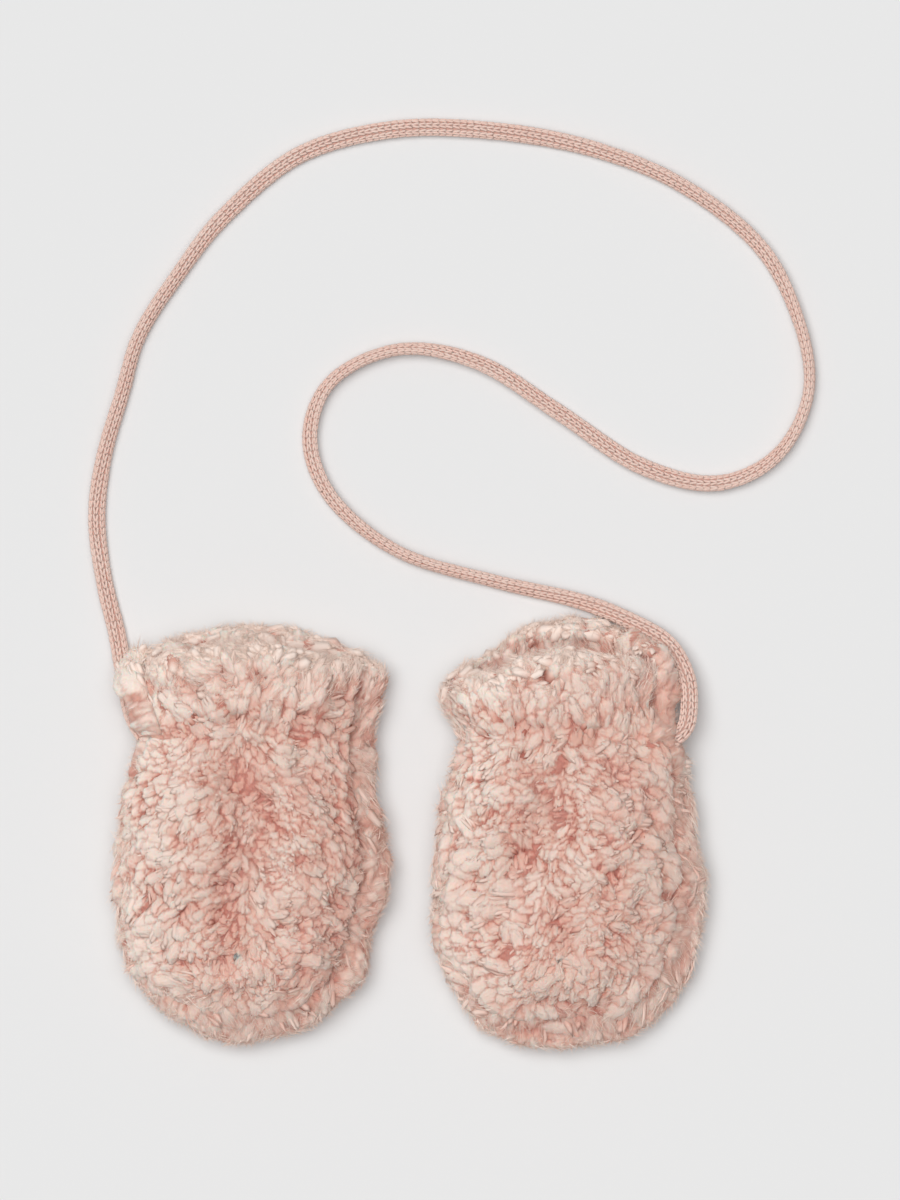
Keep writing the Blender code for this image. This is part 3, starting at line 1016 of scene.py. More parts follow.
    def add_stitches(self, heap: Heap) -> None:
        """Adds both legs of every stitch, in columns round the core.

        Args:
            heap: The cord's heap.
        """
        rng = np.random.default_rng(self.seed)
        lobe = Template.lobe(4, 3)
        courses = int(self.smooth.length / self.stitch_length)
        course, wale, side = np.meshgrid(np.arange(courses), np.arange(self.wales), (-1.0, 1.0), indexing="ij")
        course, wale, side = (grid.ravel() for grid in (course, wale, side))
        slip = rng.normal(0.0, self.slip, course.shape)
        start = (course + 0.05 + slip) * self.smooth.length / (courses + 0.6)
        stop = start + self.leg_overlap * self.stitch_length
        stop = np.minimum(stop, self.smooth.length)
        gap = 2 * math.pi / self.wales
        angle = wale * gap + self.first_wale
        foot, _ = self.surface(start, angle + side * self.leg_foot * gap)
        head, _ = self.surface(stop, angle + side * (self.leg_foot + self.lean) * gap)
        halfway = angle + side * (self.leg_foot + self.lean / 2) * gap
        middle, out = self.surface((start + stop) / 2, halfway, self.leg_inset)
        axis = head - foot
        long = np.linalg.norm(axis, axis=1, keepdims=True)
        axis = axis / long
        across = unit(np.cross(out, axis))
        size = 1.0 + rng.normal(0.0, self.unevenness, long.shape)
        local = lobe.points[None]
        reach = (local[..., 2:3] - 0.5) * long[:, None]
        placed = middle[:, None] + reach * axis[:, None]
        placed = placed + local[..., 0:1] * self.leg_width * size[:, None] * across[:, None]
        placed = placed + local[..., 1:2] * self.leg_height * size[:, None] * out[:, None]
        # Painted light and shade: each stitch is paler on its outer side and darker towards the core.
        facing = local[..., 1:2] * np.ones_like(placed[..., :1])
        rise = 0.62 + 0.30 * facing[..., 0]
        tint = rng.random(len(long))[:, None] * np.ones(placed.shape[:2])
        grain = np.broadcast_to(local * (0.56, 0.52, 3.4), placed.shape) + rng.random((len(long), 1, 3)) * 40
        heap.add(lobe, placed, {"rise": rise, "tint": tint, "grain": grain})

    def clears(self, points: np.ndarray, widths: np.ndarray) -> np.ndarray:
        """Whether each lock keeps off the cord, but for the cord's ends, which lie under the pile.

        Args:
            points: Places along each lock, as locks by places by 3.
            widths: The locks' widths.

        Returns:
            A yes or no for each lock.
        """
        ends, steps, room = 6 * MM, 740, 2.1 * MM
        tree = plant(self.section(np.linspace(ends, self.smooth.length - ends, steps))[0])
        gaps = np.array([[tree.find(place)[2] for place in lock] for lock in points])
        return gaps.min(axis=1) > room + widths * 0.4

    def path(self) -> np.ndarray:
        """The points that the tube follows.

        Returns:
            Its ring centres, 5 mm apart.
        """
        steps = np.linspace(0.0, self.smooth.length, round(self.smooth.length / (5 * MM)) + 1)
        return self.section(steps)[0]

    def build(self) -> None:
        heap = Heap()
        self.add_core(heap)
        self.add_stitches(heap)
        cord = add_piece(heap.build("knitted_cord"), CordFinish().build())
        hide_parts("neck_cord")
        path = self.path()


# The fleece


def ramp(start: float, stop: float, values: np.ndarray) -> np.ndarray:
    """A soft step.

    Args:
        start: Where it leaves 0.
        stop: Where it reaches 1, above or below the start.
        values: Where it is read.

    Returns:
        A number from 0 to 1 for each value.
    """
    t = np.clip((values - start) / (stop - start), 0.0, 1.0)
    return t * t * (3 - 2 * t)


@dataclass(frozen=True)
class Wander:
    """Smooth chance: how much of it, how far apart it changes, and which of many fields it is."""

    amount: float
    size: float
    shift: float

    def vectors(self, places: np.ndarray) -> np.ndarray:
        """Reads it as directions.

        Args:
            places: Where.

        Returns:
            A vector for each place, up to about as long as the amount.
        """
        shift = Vector((self.shift, 0.0, 0.0))
        return self.amount * np.array([noise.noise_vector(Vector(place / self.size) + shift) for place in places])

    def numbers(self, places: np.ndarray) -> np.ndarray:
        """Reads it as numbers.

        Args:
            places: Where.

        Returns:
            A number for each place, around 0.
        """
        return self.vectors(places)[:, 0]


TUFT_SIZES = Wander(0.8, 11 * MM, 47.0)
TUFT_EDGES = Wander(0.7 * MM, 1.9 * MM, 5.0)
TUFT_FRAYS = Wander(0.5 * MM, 0.75 * MM, 15.0)
BROAD_SWELLS = Wander(1.5 * MM, 9 * MM, 21.0)
HOLLOWS = Wander(1.1 * MM, 5 * MM, 33.0)
# Painted shade in the hollows of HOLLOWS, and painted light on its swells, from the same field.
HOLLOW_SHADES = Wander(0.5, 5 * MM, 33.0)
CUFF_SWELLS = Wander(1.6 * MM, 6 * MM, 57.0)
BROAD_LEANS = Wander(1.25, 12 * MM, 0.0)
FINE_LEANS = Wander(0.8, 4 * MM, 9.0)
PALE_SPOTS = Wander(0.25, 8 * MM, 71.0)


@dataclass(frozen=True)
class Parting:
    """A line from one place to another where the pile falls apart, in millimetres.

    It acts only on the upper side, above the lowest height.
    """

    x0: float
    y0: float
    x1: float
    y1: float
    reach: float = 2.0
    lowest: float = 8.0

    def nearness(self, places: np.ndarray) -> tuple[np.ndarray, np.ndarray]:
        """How the line acts on the pile beside it.

        Args:
            places: Where the pile is.

        Returns:
            The direction away from the line, and how near it each place is, from 0 to 1.
        """
        a = np.array((self.x0, self.y0)) * MM
        line = np.array((self.x1, self.y1)) * MM - a
        flat = places[:, :2] - a
        share = np.clip((flat @ line) / max(line @ line, 1e-12), 0.0, 1.0)
        off = flat - share[:, None] * line
        near = np.exp(-((np.linalg.norm(off, axis=1) / (self.reach * MM)) ** 2))
        near = near * (places[:, 2] > self.lowest * MM)
        away = np.zeros_like(places)
        away[:, :2] = unit(off)
        return away, near


@dataclass(frozen=True)
class Cover:
    """A stretch of the cord that the cuff's pile swells out to.

    Start and stop are along the cord, below zero from its far end, and the pile fades in from the
    first to the second of the fade's places up the mitten, and over the reach, from its far end to
    its near one. All are in millimetres. Shade is how much painted shade the pile takes there, and
    below zero how much painted light pales it.
    """

    start: float
    stop: float
    height: float
    fade: tuple[float, float]
    shade: float = 0.0
    reach: tuple[float, float] = (12.0, 5.0)
    steps: int = 24

    def nearness(self, cord: NeckCord, places: np.ndarray) -> np.ndarray:
        """How near the stretch the pile is.

        Args:
            cord: The cord.
            places: Where the pile is.

        Returns:
            A number from 0 to 1 for each place.
        """
        far = cord.smooth.length if self.start < 0 else 0.0
        rows = cord.section(far + np.linspace(self.start, self.stop, self.steps) * MM)[0]
        gaps = np.linalg.norm(places[:, None] - rows[None], axis=2).min(axis=1)
        (out, near), (low, high) = self.reach, self.fade
        return ramp(out * MM, near * MM, gaps) * ramp(low * MM, high * MM, places[:, 1])


@dataclass(frozen=True)
class LockForm:
    """The size and the lie of one kind of lock.

    A lock starts under the surface at its depth, bows over the surface and ends near the tip of
    its tuft: pull is how much of the way to that tip it goes. Proud is how far its own end stands
    off, stray how far it leans away from its tuft, back how much of its length lies behind its
    place, blunt how thick it stays towards its ends, pale how much of the cream of the painted
    light it has, under how much painted shade darkens its underside, and bow how far its middle
    stands off its tuft.
    """

    sides: int
    rings: tuple[float, ...]
    spacing: float
    length: tuple[float, float]
    width: tuple[float, float]
    flatness: float
    depth: float
    proud: tuple[float, float]
    pull: float = 0.75
    stray: float = 0.08
    back: float = 0.4
    blunt: tuple[float, float] = (0.45, 0.8)
    pale: float = 0.0
    under: float = 1.0
    bow: float = 0.1 * MM


STRAND = LockForm(
    sides=5,
    rings=(0.4, 0.8),
    spacing=1.2 * MM,
    length=(3.4 * MM, 5.6 * MM),
    width=(0.9 * MM, 1.9 * MM),
    flatness=0.45,
    depth=0.9 * MM,
    proud=(-0.3 * MM, 0.1 * MM),
    pull=0.6,
    stray=0.12,
)
WISP = LockForm(
    sides=4,
    rings=(0.45, 0.8),
    spacing=2.1 * MM,
    length=(3.4 * MM, 6.0 * MM),
    width=(0.4 * MM, 0.9 * MM),
    flatness=0.6,
    depth=1.6 * MM,
    proud=(0.1 * MM, 0.9 * MM),
    pull=0.5,
    stray=0.3,
    pale=0.1,
)
FIBRE = LockForm(
    sides=3,
    rings=(0.5,),
    spacing=1.25 * MM,
    length=(2.4 * MM, 5.0 * MM),
    width=(0.10 * MM, 0.17 * MM),
    flatness=1.0,
    depth=1.0 * MM,
    proud=(0.2 * MM, 1.2 * MM),
    pull=0.3,
    stray=0.4,
    pale=0.5,
    under=0.0,
)
FUZZ = LockForm(
    sides=3,
    rings=(0.5,),
    spacing=0.88 * MM,
    length=(1.7 * MM, 3.5 * MM),
    width=(0.10 * MM, 0.16 * MM),
    flatness=1.0,
    depth=1.0 * MM,
    proud=(0.5 * MM, 2.4 * MM),
    pull=0.15,
    stray=0.5,
    pale=1.0,
    under=0.0,
)
RIM_LOCK = LockForm(
    sides=5,
    rings=(0.4, 0.8),
    spacing=2.6 * MM,
    length=(3.0 * MM, 5.0 * MM),
    width=(1.3 * MM, 2.4 * MM),
    flatness=0.6,
    depth=1.0 * MM,
    proud=(0.0, 0.9 * MM),
    pull=0.3,
    stray=0.3,
    pale=0.5,
    under=0.5,
)
RIM_FUZZ = LockForm(
    sides=3,
    rings=(0.5,),
    spacing=0.66 * MM,
    length=(2.6 * MM, 5.2 * MM),
    width=(0.10 * MM, 0.16 * MM),
    flatness=1.0,
    depth=1.0 * MM,
    proud=(0.9 * MM, 3.3 * MM),
    pull=0.3,
    stray=0.45,
    pale=1.0,
    under=0.0,
)
PRESSED = LockForm(
    sides=5,
    rings=(0.4, 0.8),
    spacing=2.8 * MM,
    length=(4.5 * MM, 7.0 * MM),
    width=(2.6 * MM, 3.8 * MM),
    flatness=0.4,
    depth=1.4 * MM,
    proud=(-0.4 * MM, 0.0),
    pull=0.5,
)


def plant(places: np.ndarray) -> KDTree:
    """Makes a tree that finds the nearest of some places.

    Args:
        places: The places.

    Returns:
        The tree, with each place under its number.
    """
    tree = KDTree(len(places))
    for index, place in enumerate(places):
        tree.insert(place, index)
    tree.balance()
    return tree


def spaced(places: np.ndarray, spacing: np.ndarray) -> np.ndarray:
    """Leaves out places that are too near to one that is kept.

    Args:
        places: The places.
        spacing: How much room each of them takes.

    Returns:
        The numbers of those kept.
    """
    tree = plant(places)
    free = np.ones(len(places), bool)
    for index, room in enumerate(spacing):
        if free[index]:
            for _, other, _ in tree.find_range(places[index], room):
                free[other] = False
            free[index] = True
    return np.flatnonzero(free)


def frame_nodes() -> dict[str, bpy.types.Object]:
    """Finds the CAD nodes.

    Returns:
        The nodes' objects by name.
    """
    return {o["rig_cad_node"]: o for o in bpy.data.objects if "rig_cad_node" in o}


class PanelSurface:
    """A panel's solid, smoothed, with what it takes to grow a pile on it."""

    EXPOSURE_REACH = 45.0 * MM

    def __init__(self, node: str) -> None:
        """Copies, merges and smooths the CAD node.

        Args:
            node: The node's name.
        """
        mesh = bmesh.new()
        mesh.from_mesh(frame_nodes()[node].data)
        bmesh.ops.remove_doubles(mesh, verts=mesh.verts, dist=0.01 * MM)
        bmesh.ops.join_triangles(
            mesh,
            faces=mesh.faces,
            angle_face_threshold=math.radians(60),
            angle_shape_threshold=math.radians(70),
        )
        data = bpy.data.meshes.new("cage")
        mesh.to_mesh(data)
        mesh.free()
        cage = new_object("cage", data)
        smooth = cage.modifiers.new("Smooth", "SUBSURF")
        smooth.levels = smooth.render_levels = 2
        bpy.context.view_layer.update()
        self.mesh = bpy.data.meshes.new_from_object(cage.evaluated_get(bpy.context.evaluated_depsgraph_get()))
        bpy.data.objects.remove(cage)
        bpy.data.meshes.remove(data)
        self.mesh.calc_loop_triangles()
        self.points = np.empty((len(self.mesh.vertices), 3))
        self.mesh.vertices.foreach_get("co", self.points.ravel())
        self.normals = np.array([v.normal for v in self.mesh.vertices])
        self.triangles = np.array([t.vertices for t in self.mesh.loop_triangles])
        self.polygons = np.array([t.polygon_index for t in self.mesh.loop_triangles])
        self.tree = BVHTree.FromPolygons(self.points.tolist(), self.triangles.tolist())
        self.outside = np.zeros(len(self.triangles), bool)

    def look_round(self, trees: list[BVHTree]) -> None:
        """Marks the triangles that face away from the mitten's hollow.

        Args:
            trees: The surfaces of both panels of the mitten.
        """
        centres = self.points[self.triangles].mean(axis=1)
        a, b, c = (self.points[self.triangles[:, k]] for k in range(3))
        normals = unit(np.cross(b - a, c - a))
        for index, (centre, normal) in enumerate(zip(centres, normals)):
            start = Vector(centre + normal * 0.2 * MM)
            hits = (tree.ray_cast(start, Vector(normal), self.EXPOSURE_REACH)[0] for tree in trees)
            self.outside[index] = all(hit is None for hit in hits)

    def refined(self, chosen: np.ndarray, cuts: int) -> tuple[bpy.types.Mesh, np.ndarray]:
        """Cuts some of the faces finer.

        Args:
            chosen: Which triangles.
            cuts: How many times each edge is cut.

        Returns:
            The mesh, and whether each of its points is on the outside.
        """
        mesh = bmesh.new()
        mesh.from_mesh(self.mesh)
        mesh.faces.ensure_lookup_table()
        layer = mesh.verts.layers.float.new("outside")
        for index in np.unique(self.polygons[self.outside]):
            for vert in mesh.faces[index].verts:
                vert[layer] = 1.0
        edges = {edge for index in np.unique(self.polygons[chosen]) for edge in mesh.faces[index].edges}
        bmesh.ops.subdivide_edges(mesh, edges=list(edges), cuts=cuts, use_grid_fill=True)
        outside = np.array([vert[layer] for vert in mesh.verts]) > 0.5
        mesh.verts.layers.float.remove(layer)
        data = bpy.data.meshes.new("refined")
        mesh.to_mesh(data)
        mesh.free()
        return data, outside

    def scatter(
        self, chosen: np.ndarray, spacing: float, rng: np.random.Generator, loose: bool = False
    ) -> tuple[np.ndarray, np.ndarray]:
        """Spreads places over some of the triangles, no two nearer than the spacing.

        Args:
            chosen: Which triangles, as indices.
            spacing: The least distance between places, or the usual one where they are loose.
            rng: The source of chance.
            loose: Whether places may also lie nearer.

        Returns:
            The places and the surface's normals there.
        """
        corners = self.points[self.triangles[chosen]]
        area = np.linalg.norm(np.cross(corners[:, 1] - corners[:, 0], corners[:, 2] - corners[:, 0]), axis=1) / 2
        tries = int(area.sum() / spacing**2 * (1 if loose else 8))
        pick = rng.choice(len(chosen), tries, p=area / area.sum())
        u, v = rng.random((2, tries, 1))
        u, v = np.where(u + v > 1, 1 - u, u), np.where(u + v > 1, 1 - v, v)
        weights = np.concatenate([1 - u - v, u, v], axis=1)[..., None]
        places = (corners[pick] * weights).sum(axis=1)
        normals = unit((self.normals[self.triangles[chosen[pick]]] * weights).sum(axis=1))
        if loose:
            return places, normals
        kept = spaced(places, np.full(tries, spacing))
        return places[kept], normals[kept]


class Skin:
    """The whole outside of a mitten, over which the pile of both panels lies."""

    def __init__(self, surfaces: list[PanelSurface]) -> None:
        """Joins the outsides of the panels.

        Args:
            surfaces: The panels' surfaces, which have looked round.
        """
        points, triangles, count = [], [], 0
        for surface in surfaces:
            points.append(surface.points)
            triangles.append(surface.triangles[surface.outside] + count)
            count += len(surface.points)
        self.tree = BVHTree.FromPolygons(np.concatenate(points).tolist(), np.concatenate(triangles).tolist())

    def settle(self, places: np.ndarray) -> tuple[np.ndarray, np.ndarray]:
        """Moves places to the nearest points of the outside.

        Args:
            places: Any places.

        Returns:
            The nearest points, and the normals there.
        """
        found = [self.tree.find_nearest(Vector(place))[:2] for place in places]
        return np.array([f[0] for f in found]), np.array([f[1] for f in found])


@dataclass(frozen=True)
class TuftForm:
    """How tufts are spread, shaped and varied.

    Bulk is a tuft's size against the usual one. It is larger where the pile is brushed, smaller in
    the valley and over the cord, and stays between its limits. Length, width, room and tries are in
    tuft spacings. Climb and drop say how a tuft rises from its root and falls at its tip: over what
    share of its length, and with what power. Strands are grooves along it.
    """

    tries: float = 0.6
    room: float = 0.95
    bulk: float = 1.05
    bulk_chance: tuple[float, float] = (-0.15, 0.2)
    bulk_brushed: float = 0.4
    bulk_valley: float = 0.3
    bulk_cord: float = 0.9
    bulk_limits: tuple[float, float] = (0.75, 1.75)
    grip: tuple[float, float] = (0.55, 1.1)
    curl: float = 0.16
    length: tuple[float, float] = (1.3, 2.1)
    length_brushed: float = 0.3
    width: tuple[float, float] = (0.62, 0.9)
    height: tuple[float, float] = (0.65, 1.15)
    height_power: float = 0.7
    height_brushed: float = 0.42
    tip: float = 0.8
    shade_limits: tuple[float, float] = (-0.3, 1.0)
    side_facing: tuple[float, float] = (0.2, 0.9)
    climb: tuple[float, float] = (1.6, 0.6)
    drop: tuple[float, float] = (0.5, 0.55)
    peak: float = 1.03
    roundness: float = 0.68
    strand_depth: float = 0.4 * MM
    strand_width: float = 0.48 * MM
    strand_length: float = 1.7 * MM
    strand_shift: float = 7.3
    near: int = 7


class Tufts:
    """The tufts that a panel's pile gathers into: each leans one way and ends in one blunt tip."""

    FORM = TuftForm()

    def __init__(self, panel: FleecePanel, chosen: np.ndarray, outer: bool) -> None:
        """Spreads the tufts.

        Args:
            panel: The panel they are on.
            chosen: Which of its triangles.
            outer: Whether they are on the mitten's outside.
        """
        form, rng, spacing = self.FORM, panel.rng, panel.tuft_spacing
        middles, normals = panel.surface.scatter(chosen, form.tries * spacing, rng)
        bulk = form.bulk + TUFT_SIZES.numbers(middles) + rng.uniform(*form.bulk_chance, len(middles))
        brushed = form.bulk_brushed * panel.brushed(middles, normals)
        bulk += brushed + panel.mitten.nubs(middles) - form.bulk_valley * panel.nest(middles)
        bulk -= form.bulk_cord * panel.cord_cover(middles) / panel.cover_height
        bulk = np.clip(bulk, *form.bulk_limits)
        kept = spaced(middles, form.room * spacing * bulk)
        self.middles, self.bulk, normals = middles[kept], bulk[kept], normals[kept]
        count = len(self.middles)
        brushed = panel.brushed(self.middles, normals)
        self.lean = panel.nap(self.middles, normals)
        self.across = np.cross(self.lean, normals)
        # Painted shade on the side facing away from the light, added to the tuft's painted shade in hollows.
        aside = panel.mitten.side_shade * ramp(*form.side_facing, normals[:, 0])
        self.shade = np.clip(panel.shade(self.middles, normals) + aside, *form.shade_limits)
        self.tint = rng.random(count)
        self.grip = rng.uniform(*form.grip, (count, 1))
        self.curl = rng.normal(0.0, form.curl, (count, 1))
        self.long = rng.uniform(*form.length, count) * spacing * self.bulk * (1 + form.length_brushed * brushed)
        self.wide = rng.uniform(*form.width, count) * spacing * self.bulk
        self.tall = rng.uniform(*form.height, count) * panel.tuft_height * self.bulk**form.height_power
        self.tall = self.tall * (1 - form.height_brushed * brushed)
        ahead, ahead_normals = self.middles + self.lean * form.tip * self.long[:, None], normals
        if outer:
            ahead, ahead_normals = panel.mitten.skin.settle(ahead)
        self.tips = ahead + ahead_normals * (form.tip * self.tall + panel.relief(self.middles))[:, None]
        self.tree = plant(self.middles)

    def swell(self, places: np.ndarray) -> tuple[np.ndarray, np.ndarray, np.ndarray]:
        """Finds the tuft that lies uppermost at each place.

        Args:
            places: Where.

        Returns:
            The tufts' numbers, how high each stands at its place, and how much of that is above
            the tuft next to it.
        """
        form = self.FORM
        warped = places + TUFT_EDGES.vectors(places) + TUFT_FRAYS.vectors(places)
        index = np.array([[found[1] for found in self.tree.find_n(place, form.near)] for place in warped])
        off = warped[:, None] - self.middles[index]
        along = (off * self.lean[index]).sum(axis=-1) / self.long[index]
        aside = (off * self.across[index]).sum(axis=-1) / self.wide[index]
        (climb, climb_power), (drop, drop_power) = form.climb, form.drop
        front = np.clip((1 + along) / climb, 0.0, 1.0) ** climb_power
        front = front * np.clip((1 - along) / drop, 0.0, 1.0) ** drop_power
        height = form.peak * self.tall[index] * front * np.clip(1 - aside**2, 0.0, 1.0) ** form.roundness
        order = np.argsort(-height, axis=1)[:, :2]
        first, second = np.take_along_axis(height, order, axis=1).T
        top = np.take_along_axis(index, order, axis=1)[:, 0]
        off = warped - self.middles[top]
        forth, across = (off * self.lean[top]).sum(axis=1), (off * self.across[top]).sum(axis=1)
        spots = np.stack([across / form.strand_width, forth / form.strand_length, top * form.strand_shift], axis=1)
        strands = np.array([noise.noise(Vector(spot)) for spot in spots])
        return top, first + form.strand_depth * strands, first - second


@dataclass
class FleecePanel:
    """One panel of a mitten: its backing and its pile.

    Flat is the size of the cloth that shows and area its area, and neither is used. The heights and
    insets are those of the pile. The lining is the panel's inner side above lining_start from the wrist.
    """

    mitten: FleeceMitten
    side: Side
    flat: tuple[float, float]
    area: float
    seed: int
    tuft_spacing: float = 2.1 * MM
    tuft_height: float = 1.7 * MM
    ground_inset: float = 0.9 * MM
    lining_inset: float = 0.9 * MM
    cover_height: float = 6.4 * MM
    lining_start: float = 6 * MM
    lining_swell: float = 3.2 * MM
    lining_shade: float = 1.3
    parting_depth: float = 1.3 * MM
    parting_shade: float = 0.45
    parting_lean: float = 2.5
    seam_rise: float = 3.0 * MM
    seam_reach: float = 8 * MM
    pressed_height: float = 1.2 * MM
    rim_depth: float = 5 * MM
    surface: PanelSurface = field(init=False)

    def __post_init__(self) -> None:
        """Smooths the panel's solid."""
        self.node = f"{self.mitten.name}_{self.side.value}_panel"
        self.surface = PanelSurface(self.node)
        self.rng = np.random.default_rng(self.seed)

    def build_backing(self, outer: Tufts, lining: Tufts, shown: np.ndarray) -> bpy.types.Object:
        """Builds the ground that the pile stands on, with the form of every tuft.

        Args:
            outer: The tufts on the panel's outside.
            lining: Those inside its cuff.
            shown: The triangles that are cut finer.

        Returns:
            The backing, which stands for the CAD node.
        """
        data, outside = self.surface.refined(shown, 2 if self.side is Side.UPPER else 1)
        data.name = f"{self.mitten.name}_{self.side.value}_backing"
        points = np.empty((len(data.vertices), 3))
        data.vertices.foreach_get("co", points.ravel())
        normals = np.array([v.normal for v in data.vertices])
        lift = np.full(len(points), -self.lining_inset)
        values = {name: np.full(len(points), 0.5) for name in ("rise", "shade", "tint", "pale")}
        values["grain"] = points / MM
        lined = ~outside & (points[:, 1] > self.mitten.wrist_y + self.lining_start)
        for tufts, part in ((outer, outside), (lining, lined)):
            places, facing = points[part], normals[part]
            brushed = self.brushed(places, facing)
            tuft, height, above = tufts.swell(places)
            if tufts is outer:
                swell = self.relief(places)
            else:
                mouth = self.mitten.wrist_y + 14 * MM
                swell = self.lining_swell * ramp(mouth, mouth + 20 * MM, places[:, 1])
            lift[part] = height - self.ground_inset + swell
            off = places - tufts.middles[tuft]
            ways = (tufts.across[tuft], facing, tufts.lean[tuft])
            grain = np.stack([(off * way).sum(axis=1) for way in ways], axis=1) / MM * 1.2 + 9.0 * tuft[:, None]
            # Painted shade in the creases between tufts: the colour rises with height on a tuft and above the next one,
            # less so where the pile is brushed.
            crest = np.clip(height / self.tuft_height, 0.0, 1.0)
            crest = 0.6 * crest + 0.4 * ramp(0.0, 0.75 * MM, above)
            values["rise"][part] = crest + 0.35 * brushed * (1 - crest)
            # Painted shade deeper in the relief's hollows and paler on its swells, and inside the cuff deeper in the
            # crevice under the front rim.
            shade = tufts.shade[tuft] - HOLLOW_SHADES.numbers(places)
            if tufts is lining:
                shade = shade + self.lining_shade * self.crevice(places)
            values["shade"][part] = np.clip(shade, -0.4, 1.0)
            values["tint"][part] = tufts.tint[tuft]
            # Painted light that pales the pile.
            values["pale"][part] = self.glow(places, facing)
            values["grain"][part] = grain
        points += normals * lift[:, None]
        points[:, 2] = np.maximum(points[:, 2], FLOOR_CLEARANCE)
        data.vertices.foreach_set("co", points.ravel())
        set_attributes(data, values)
        data.shade_smooth()
        data.materials.clear()
        backing = add_piece(data, self.mitten.fleece_material)
        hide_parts(self.node)
        return backing

    def brushed(self, places: np.ndarray, normals: np.ndarray) -> np.ndarray:
        """How soft and blurred the pile is, from 0 on the back of the hand to 1 at the rims.

        Args:
            places: Where.
            normals: The surface's normals there.

        Returns:
            A number for each place.
        """
        steep = ramp(0.8, 0.4, normals[:, 2])
        start = self.mitten.wrist_y + 5 * MM
        cuff = ramp(start, start + 12 * MM, places[:, 1]) * self.mitten.cuff_brushed
        found = np.maximum(np.maximum(steep, cuff), self.cord_cover(places) / self.cover_height)
        return np.maximum(found, 0.85) if self.side is Side.UNDER else found

    def relief(self, places: np.ndarray) -> np.ndarray:
        """How far the pile swells above the solid's smooth form.

        Args:
            places: Where.

        Returns:
            A height for each place, or a depth where it is below zero.
        """
        found = BROAD_SWELLS.numbers(places) + HOLLOWS.numbers(places)
        for parting in self.mitten.partings:
            found -= self.parting_depth * parting.nearness(places)[1]
        cuff = ramp(self.mitten.wrist_y, self.mitten.wrist_y + 12 * MM, places[:, 1])
        found += CUFF_SWELLS.numbers(places) * cuff
        side = ramp(14 * MM, 26 * MM, np.abs(places[:, 0] - self.mitten.axis_x)) * (places[:, 2] < 15 * MM)
        return found + self.seam_fill(places) + self.cord_cover(places) - 0.9 * MM * side

    def seam_fill(self, places: np.ndarray) -> np.ndarray:
        """How far the pile rises to bridge the seam, most on the side towards the light.

        Args:
            places: Where.

        Returns:
            A height for each place.
        """
        reach = self.seam_reach
        other = self.mitten.outsides[Side.UNDER if self.side is Side.UPPER else Side.UPPER]
        found = (other.find_nearest(Vector(place), reach)[3] for place in places)
        near = np.array([0.0 if gap is None else 1 - gap / reach for gap in found])
        lit = ramp(14 * MM, -6 * MM, places[:, 0] - self.mitten.axis_x)
        lit = np.maximum(lit, self.mitten.right_fill * ramp(14 * MM, 24 * MM, places[:, 0] - self.mitten.axis_x))
        lit = np.maximum(lit, 1.6 * ramp(-38 * MM, -54 * MM, places[:, 1]))
        below = ramp(self.mitten.wrist_y + self.lining_start, self.mitten.wrist_y - 4 * MM, places[:, 1])
        below = np.maximum(below, 1.2 * self.cord_cover(places) / self.cover_height)
        return self.seam_rise * near**1.5 * (0.2 + 0.8 * lit) * below

    def cord_cover(self, places: np.ndarray) -> np.ndarray:
        """How far the cuff's pile swells out to the end of the cord.

        Args:
            places: Where.

        Returns:
            A height for each place.
        """
        found = np.zeros(len(places))
        for cover in self.mitten.covers:
            found = np.maximum(found, cover.height * MM * cover.nearness(self.mitten.cord, places))
        return found

    def crevice(self, places: np.ndarray) -> np.ndarray:
        """How near the front rim each place inside the cuff is.

        Args:
            places: Where.

        Returns:
            A number from 0 to 1 for each place.
        """
        front = next(panel for panel in self.mitten.panels if panel.side is Side.UPPER)
        return ramp(-8.5 * MM, -3.5 * MM, front.below_rim(places))

    def nest(self, places: np.ndarray) -> np.ndarray:
        """How near the valley down the hand each place is.

        Args:
            places: Where.

        Returns:
            A number from 0 to 1 for each place.
        """
        off = places[:, 0] - self.mitten.valley_x(places[:, 1]) + 4 * MM
        down = ramp(self.mitten.wrist_y, self.mitten.wrist_y - 12 * MM, places[:, 1])
        return np.exp(-((off / (10 * MM)) ** 2)) * down * ramp(-50 * MM, -30 * MM, places[:, 1])

    def nap(self, places: np.ndarray, normals: np.ndarray) -> np.ndarray:
        """The way the pile leans, along the surface.

        Args:
            places: Where.
            normals: The normals there.

        Returns:
            A unit vector along the surface for each place.
        """
        x, y = places[:, 0], places[:, 1]
        aside = np.clip((x - self.mitten.valley_x(y)) / (12 * MM), -1.0, 1.0)
        hand = np.stack([aside, np.full_like(x, -0.35), np.zeros_like(x)], axis=1)
        middle = np.array((self.mitten.axis_x, -18 * MM, 12 * MM))
        fan = unit((places - middle) * (1.0, 1.0, 0.3))
        low = ramp(-22 * MM, -48 * MM, y)[:, None]
        lean = unit(hand) * (1 - low) + fan * low
        cuff = ramp(self.mitten.wrist_y - 3 * MM, self.mitten.wrist_y + 7 * MM, y)[:, None]
        sideways = np.stack([(x - self.mitten.axis_x) / (45 * MM), np.full_like(x, 0.8), np.zeros_like(x)], axis=1)
        lean = lean * (1 - cuff) + sideways * cuff
        out = normals * (1.0, 1.0, 0.0)
        lean = lean + out * ramp(0.8, 0.3, normals[:, 2])[:, None]
        lean = lean + BROAD_LEANS.vectors(places) + FINE_LEANS.vectors(places)
        for parting in self.mitten.partings:
            away, near = parting.nearness(places)
            lean += self.parting_lean * near[:, None] * away
        lean -= normals * (lean * normals).sum(axis=1, keepdims=True)
        return unit(lean)

